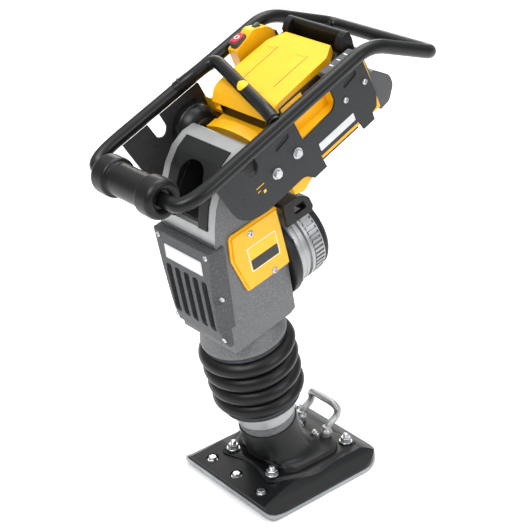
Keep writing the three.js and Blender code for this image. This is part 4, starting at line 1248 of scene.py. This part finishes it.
class RAMMER_OT_side_plates(bpy.types.Operator):
    """Cut side plates with their bolts, badge and the rubber mounts behind them"""

    bl_idname = "rammer.side_plates"
    bl_label = "Side plates and mounts"

    def execute(self, context):
        rounding = millimetres(sizes().sheet_round)
        for side, sign in (("left", 1), ("right", -1)):
            refined(f"side_plate_{side}", rounding, degrees=40)
            outward = (sign, 0, 0)
            face_out = sign * PLATE_OUT
            set_fasteners(f"plate_bolts_{side}", "hex_bolt",
                          [((face_out, u, s), outward) for u, s in PLATE_BOLTS], HANDLE, "handle", seed=4,
                          size=1.0)
            set_fasteners(f"plate_screws_{side}", "pan_screw",
                          [((face_out, u, s), outward) for u, s in PLATE_SCREWS], HANDLE, "handle", seed=8,
                          size=0.95)
            self.marks(side, sign)
            # dark sheets behind the slots stand in for the shade inside them: painted shade
            self.slot_liners(side, sign)
            self.mount(side, sign)
            refined(f"mount_bolt_{side}", 0)
        return {"FINISHED"}

    def slot_liners(self, side, sign):
        """Dark sheets just inside the slots: painted shade for the dark seen through them."""
        bm = bmesh.new()
        for u, s in SLOT_PLACES:
            plaque(bm, Vector((sign * SLOT_SHADE_OUT, u, s)), Vector((sign, 0, 0)), Vector((0, 1, 0.12)), 42,
                   20, proud=0.4,
                   sunk=1.6, corner=6)
        piece(f"slot_liners_{side}", bm, HANDLE, "cover_dark", "handle")

    def marks(self, side, sign):
        facing = Vector((sign, 0, 0))
        along = Vector((0, 1, 0))
        bm = bmesh.new()
        plaque(bm, Vector((sign * PLATE_OUT, 277, -105)), facing, along, 92, 16, proud=0.7, corner=2)
        piece(f"plate_badge_blank_{side}", bm, HANDLE, "foil", "handle")
        bm = bmesh.new()
        for u, s, width, height in PLATE_EMBOSSING:
            plaque(bm, Vector((sign * PLATE_OUT, u, s)), facing, along, width, height, proud=0.45, corner=0.5)
        piece(f"plate_embossing_{side}", bm, HANDLE, "plate_paint", "handle")
        bm = bmesh.new()
        for u, s, width, height in PLATE_PRINT:
            plaque(bm, Vector((sign * PLATE_OUT, u, s)), facing, along, width, height, proud=0.3, corner=0.7)
        piece(f"plate_printed_marks_{side}", bm, HANDLE, "vinyl_yellow", "handle")

    def mount(self, side, sign):
        profile = [(0, 80.5), (22, 80.5, 2), (23, 83, 1), (34, 88, 5), (42, 100, 6), (43.5, 107, 1),
                   (45, 109, 1),
                   (45, 125.7, 1.5), (0, 125.7)]
        points = [(radius, sign * out) for radius, out in eased(profile, closed=False)]
        bm = bmesh.new()
        turned(bm, points, axis="X", centre=MOUNT_PLACE, sides=72, looped=False)
        tidy_mesh(bm)
        piece(f"rubber_mount_{side}_turned", bm, HANDLE, "rubber", "handle", (f"rubber_mount_{side}",))


# ------------------------------------------------------------------ housing, controls and battery

HOUSING_BACK = 379  # the housing's rear edge is smoke grey from here
STOP_PLACE = (-112, 305)
START_PLACE = (-112, 353)
STOP_FACE = 21
START_FACE = 17
GAUGE_MARKS = (331, 349, 367)
GAUGE_X = 105.5
LID_PADS = [(-53, 333), (22, 335), (22, 226), (-53, 226)]
LID_LINES = (-40, 40)
ABOVE_LID = 40  # where the lines onto the lid start
DOWNWARD = (0, 0, -1)


class RAMMER_OT_housing(bpy.types.Operator):
    """Yellow inner housing, controller box and the smoke-grey rear cover"""

    bl_idname = "rammer.housing"
    bl_label = "Housing and rear cover"

    def execute(self, context):
        rounding = millimetres(sizes().edge_round)
        housing = refined("inner_housing", 0.6, degrees=50)
        paint_faces(housing, "smoke_grey", HANDLE, lambda spot, _facing: spot.y > HOUSING_BACK)
        refined("controller_box", rounding)
        refined("rear_cover", rounding, degrees=18)
        bm = bmesh.new()
        for step in range(7):
            x = -84 + step * 28
            prism(bm, [(x - 9, -116, 2), (x + 9, -116, 2), (x + 9, -112.6, 1.6), (x - 9, -112.6, 1.6)], "Y",
                  431, 439.2)
        soften(bm, 0.5)
        piece("rear_cover_ribs", bm, HANDLE, "smoke_grey", "handle")
        return {"FINISHED"}


class RAMMER_OT_controls(bpy.types.Operator):
    """Control box with its stop and start keys, and the charge gauge"""

    bl_idname = "rammer.controls"
    bl_label = "Controls"

    def execute(self, context):
        rounding = millimetres(sizes().edge_round)
        refined("control_box", rounding, degrees=18)
        refined("battery_gauge", 1.0)
        self.key("stop_button", STOP_PLACE, (16, 28), 8, STOP_FACE, 7, "red", "stop_key")
        self.key("start_button", START_PLACE, (10, 14), 1, START_FACE, 4, "cover_grey", "start_key")
        self.bezel("stop_bezel", STOP_PLACE, (20.6, 33.5), (-1, 18.5), 8, (16.9, 28.9), 7.3)
        bm = bmesh.new()
        self.torus(bm, (*STOP_PLACE, STOP_FACE), 4.6, 0.9)
        piece("stop_mark", bm, HANDLE, "vinyl_white", "stop_key")
        bm = bmesh.new()
        plaque(bm, Vector((*START_PLACE, START_FACE)), Vector(UPWARD), Vector((1, 0, 0)), 2.2, 8, proud=0.3,
               corner=1)
        piece("start_mark", bm, HANDLE, "vinyl_green", "start_key")
        bm = bmesh.new()
        for u in GAUGE_MARKS:
            top = -2 - (u - 306) * 4 / 78
            plaque(bm, Vector((GAUGE_X, u, top)), Vector((0, 0.05, 1)), Vector((1, 0, 0)), 9, 2.6, proud=0.3,
                   corner=1)
        piece("gauge_marks", bm, HANDLE, "vinyl_white", "handle")
        return {"FINISHED"}

    def rounded(self, centre, size, reach, height, shrink=0.0):
        half = (size[0] / 2 - shrink, size[1] / 2 - shrink)
        reach = max(reach - shrink, 0.5)
        corners = [(-half[0], -half[1], reach), (half[0], -half[1], reach), (half[0], half[1], reach),
                   (-half[0], half[1], reach)]
        return [Vector((centre[0] + a, centre[1] + b, height)) for a, b in eased(corners, steps=8)]

    def key(self, node, centre, size, low, high, reach, key, body):
        """A push key with a dished top."""
        bm = bmesh.new()
        levels = [(low, 0), (high - 1.6, 0), (high - 0.5, 0.5), (high, 1.4), (high, 2.4), (high - 0.5, 3.6)]
        skin(bm, [self.rounded(centre, size, reach, height, shrink) for height, shrink in levels],
             capped=True)
        tidy_mesh(bm)
        piece(f"{node}_dished", bm, HANDLE, key, body, (node,))

    def bezel(self, name, centre, size, span, reach, hole, hole_reach):
        """A frame standing proud round a key."""
        low, high = span
        rings = [self.rounded(centre, size, reach, low), self.rounded(centre, size, reach, high - 1),
                 self.rounded(centre, size, reach, high, 1),
                 self.rounded(centre, hole, hole_reach, high, -0.4),
                 self.rounded(centre, hole, hole_reach, high - 0.6),
                 self.rounded(centre, hole, hole_reach, low)]
        bm = bmesh.new()
        skin(bm, rings, looped=True)
        tidy_mesh(bm)
        piece(name, bm, HANDLE, "cover_grey", "handle")

    def torus(self, bm, centre, radius, thick):
        profile = [(radius + thick * math.cos(TAU * i / 12),
                    0.35 * math.sin(TAU * i / 12)) for i in range(12)]
        turned(bm, profile, centre=centre, sides=40)
        tidy_mesh(bm)


class RAMMER_OT_battery(bpy.types.Operator):
    """Battery with its yellow lid, dark tub and carrying loop"""

    bl_idname = "rammer.battery"
    bl_label = "Battery"

    def execute(self, context):
        refined("battery_cap", 4.0, degrees=35, segments=4)
        refined("battery_base", 1.2, degrees=50)
        bm = bmesh.new()
        for x, u in LID_PADS:
            spot, facing = onto("battery_cap", (x, u, ABOVE_LID), DOWNWARD, HANDLE)
            plaque(bm, spot, facing, Vector((1, 0, 0)), 22, 7, proud=0.7, corner=3.4)
        piece("battery_lid_pads", bm, HANDLE, "yellow", "battery")
        bm = bmesh.new()
        for x in LID_LINES:
            spot, facing = onto("battery_cap", (x, 290, ABOVE_LID), DOWNWARD, HANDLE)
            plaque(bm, spot, facing, Vector((0, 1, 0)), 92, 1.3, proud=0.35, corner=0.6)
        piece("battery_lid_lines", bm, HANDLE, "vinyl_black", "battery")
        for side, sign in (("left", 1), ("right", -1)):
            facing = Vector((sign, 0, 0))
            along = Vector((0, 1, 0))
            bm = bmesh.new()
            plaque(bm, Vector((sign * 83.2, 262, -29)), facing, along, 104, 25, proud=0.9, sunk=3, corner=3)
            piece(f"battery_label_band_{side}", bm, HANDLE, "vinyl_black", "battery")
            bm = bmesh.new()
            plaque(bm, Vector((sign * 84.0, 239, -29)), facing, along, 52, 20, proud=0.5, corner=2)
            piece(f"battery_label_field_{side}", bm, HANDLE, "vinyl_yellow", "battery")
        return {"FINISHED"}


# ------------------------------------------------------------------ stage

FLOOR_REACH = 14000
FLOOR_SIDES = 64
WORLD_STRENGTH = 0.5
OVERHEAD_STRENGTH = 1.7
OVERHEAD_SPREAD = math.radians(100)
AIMED_AT = Vector((0, 0, 0.5))
# Each softbox: name, place in metres, width in metres, watts and colour.
SOFTBOXES = (
    ("key_softbox", (0.6, -2.6, 3.4), 2.2, 80, "#ffffff"),
    ("fill_softbox", (3.2, 0.6, 2.0), 1.8, 34, "#f4f7ff"),
    ("top_softbox", (-0.6, 0.8, 3.6), 2.4, 60, "#ffffff"),
    ("rear_softbox", (-2.6, 2.2, 1.8), 1.8, 26, "#fffaf2"),
)


class RAMMER_OT_stage(bpy.types.Operator):
    """Pale floor, soft studio lights and the camera"""

    bl_idname = "rammer.stage"
    bl_label = "Stage"

    def execute(self, context):
        stage = context.scene.rammer_stage
        bm = bmesh.new()
        turns = [TAU * i / FLOOR_SIDES for i in range(FLOOR_SIDES)]
        ring = [Vector((FLOOR_REACH * math.cos(turn), FLOOR_REACH * math.sin(turn), 0)) for turn in turns]
        bm.faces.new([bm.verts.new(point) for point in ring])
        floor = piece("floor", bm, GROUND, "floor", None, even=False)
        context.scene.view_settings.view_transform = "Standard"
        self.world(stage.brightness)
        for name, place, size, power, colour in SOFTBOXES:
            self.softbox(name, Vector(place), size, power * stage.brightness, colour)
        overhead = bpy.data.lights.new("overhead_diffuser", "SUN")
        overhead.energy = OVERHEAD_STRENGTH * stage.brightness
        overhead.angle = OVERHEAD_SPREAD
        bpy.context.scene.collection.objects.link(bpy.data.objects.new("overhead_diffuser", overhead))
        self.camera(stage)
        return {"FINISHED"}

    def world(self, brightness):
        world = bpy.data.worlds.new("studio")
        bpy.context.scene.world = world
        world.use_nodes = True
        ground = world.node_tree.nodes["Background"]
        ground.inputs["Color"].default_value = linear("#f7f8fa")
        ground.inputs["Strength"].default_value = WORLD_STRENGTH * brightness

    def softbox(self, name, place, size, power, colour):
        light = bpy.data.lights.new(name, "AREA")
        light.shape = "DISK"
        light.size = size
        light.energy = power
        light.color = linear(colour)[:3]
        holder = bpy.data.objects.new(name, light)
        holder.location = place
        holder.rotation_euler = (AIMED_AT - place).to_track_quat("-Z", "Y").to_euler()
        bpy.context.scene.collection.objects.link(holder)

    def camera(self, stage):
        data = bpy.data.cameras.new("camera")
        data.lens = stage.lens
        data.sensor_width = 36
        data.clip_end = 60
        holder = bpy.data.objects.new("camera", data)
        holder.location = stage.camera_place
        back = Vector((math.sin(stage.azimuth) * math.cos(stage.elevation),
                       -math.cos(stage.azimuth) * math.cos(stage.elevation), math.sin(stage.elevation)))
        holder.rotation_euler = (-back).to_track_quat("-Z", "Y").to_euler()
        bpy.context.scene.collection.objects.link(holder)
        bpy.context.scene.camera = holder


# ------------------------------------------------------------------ add-on

OPERATORS = (
    RAMMER_OT_stage,
    RAMMER_OT_shoe,
    RAMMER_OT_lifting_loop,
    RAMMER_OT_leg,
    RAMMER_OT_bellows,
    RAMMER_OT_crankcase,
    RAMMER_OT_motor,
    RAMMER_OT_drive,
    RAMMER_OT_handle_frame,
    RAMMER_OT_roller,
    RAMMER_OT_side_plates,
    RAMMER_OT_housing,
    RAMMER_OT_controls,
    RAMMER_OT_battery,
)


class RAMMER_PT_panel(bpy.types.Panel):
    bl_label = "Rammer"
    bl_idname = "RAMMER_PT_panel"
    bl_space_type = "VIEW_3D"
    bl_region_type = "UI"
    bl_category = "Rammer"

    def draw(self, context):
        for group in (context.scene.rammer_sizes, context.scene.rammer_colours, context.scene.rammer_stage):
            box = self.layout.box()
            for name in group.__annotations__:
                box.prop(group, name)
        for operator in OPERATORS:
            self.layout.operator(operator.bl_idname)


CLASSES = (RammerSizes, RammerColours, RammerStage, *OPERATORS, RAMMER_PT_panel)


def register():
    for cls in CLASSES:
        bpy.utils.register_class(cls)
    bpy.types.Scene.rammer_sizes = bpy.props.PointerProperty(type=RammerSizes)
    bpy.types.Scene.rammer_colours = bpy.props.PointerProperty(type=RammerColours)
    bpy.types.Scene.rammer_stage = bpy.props.PointerProperty(type=RammerStage)


def unregister():
    del bpy.types.Scene.rammer_stage
    del bpy.types.Scene.rammer_colours
    del bpy.types.Scene.rammer_sizes
    for cls in reversed(CLASSES):
        bpy.utils.unregister_class(cls)


def main():
    register()
    for operator in OPERATORS:
        group, name = operator.bl_idname.split(".")
        getattr(getattr(bpy.ops, group), name)()


if __name__ == "__main__":
    main()
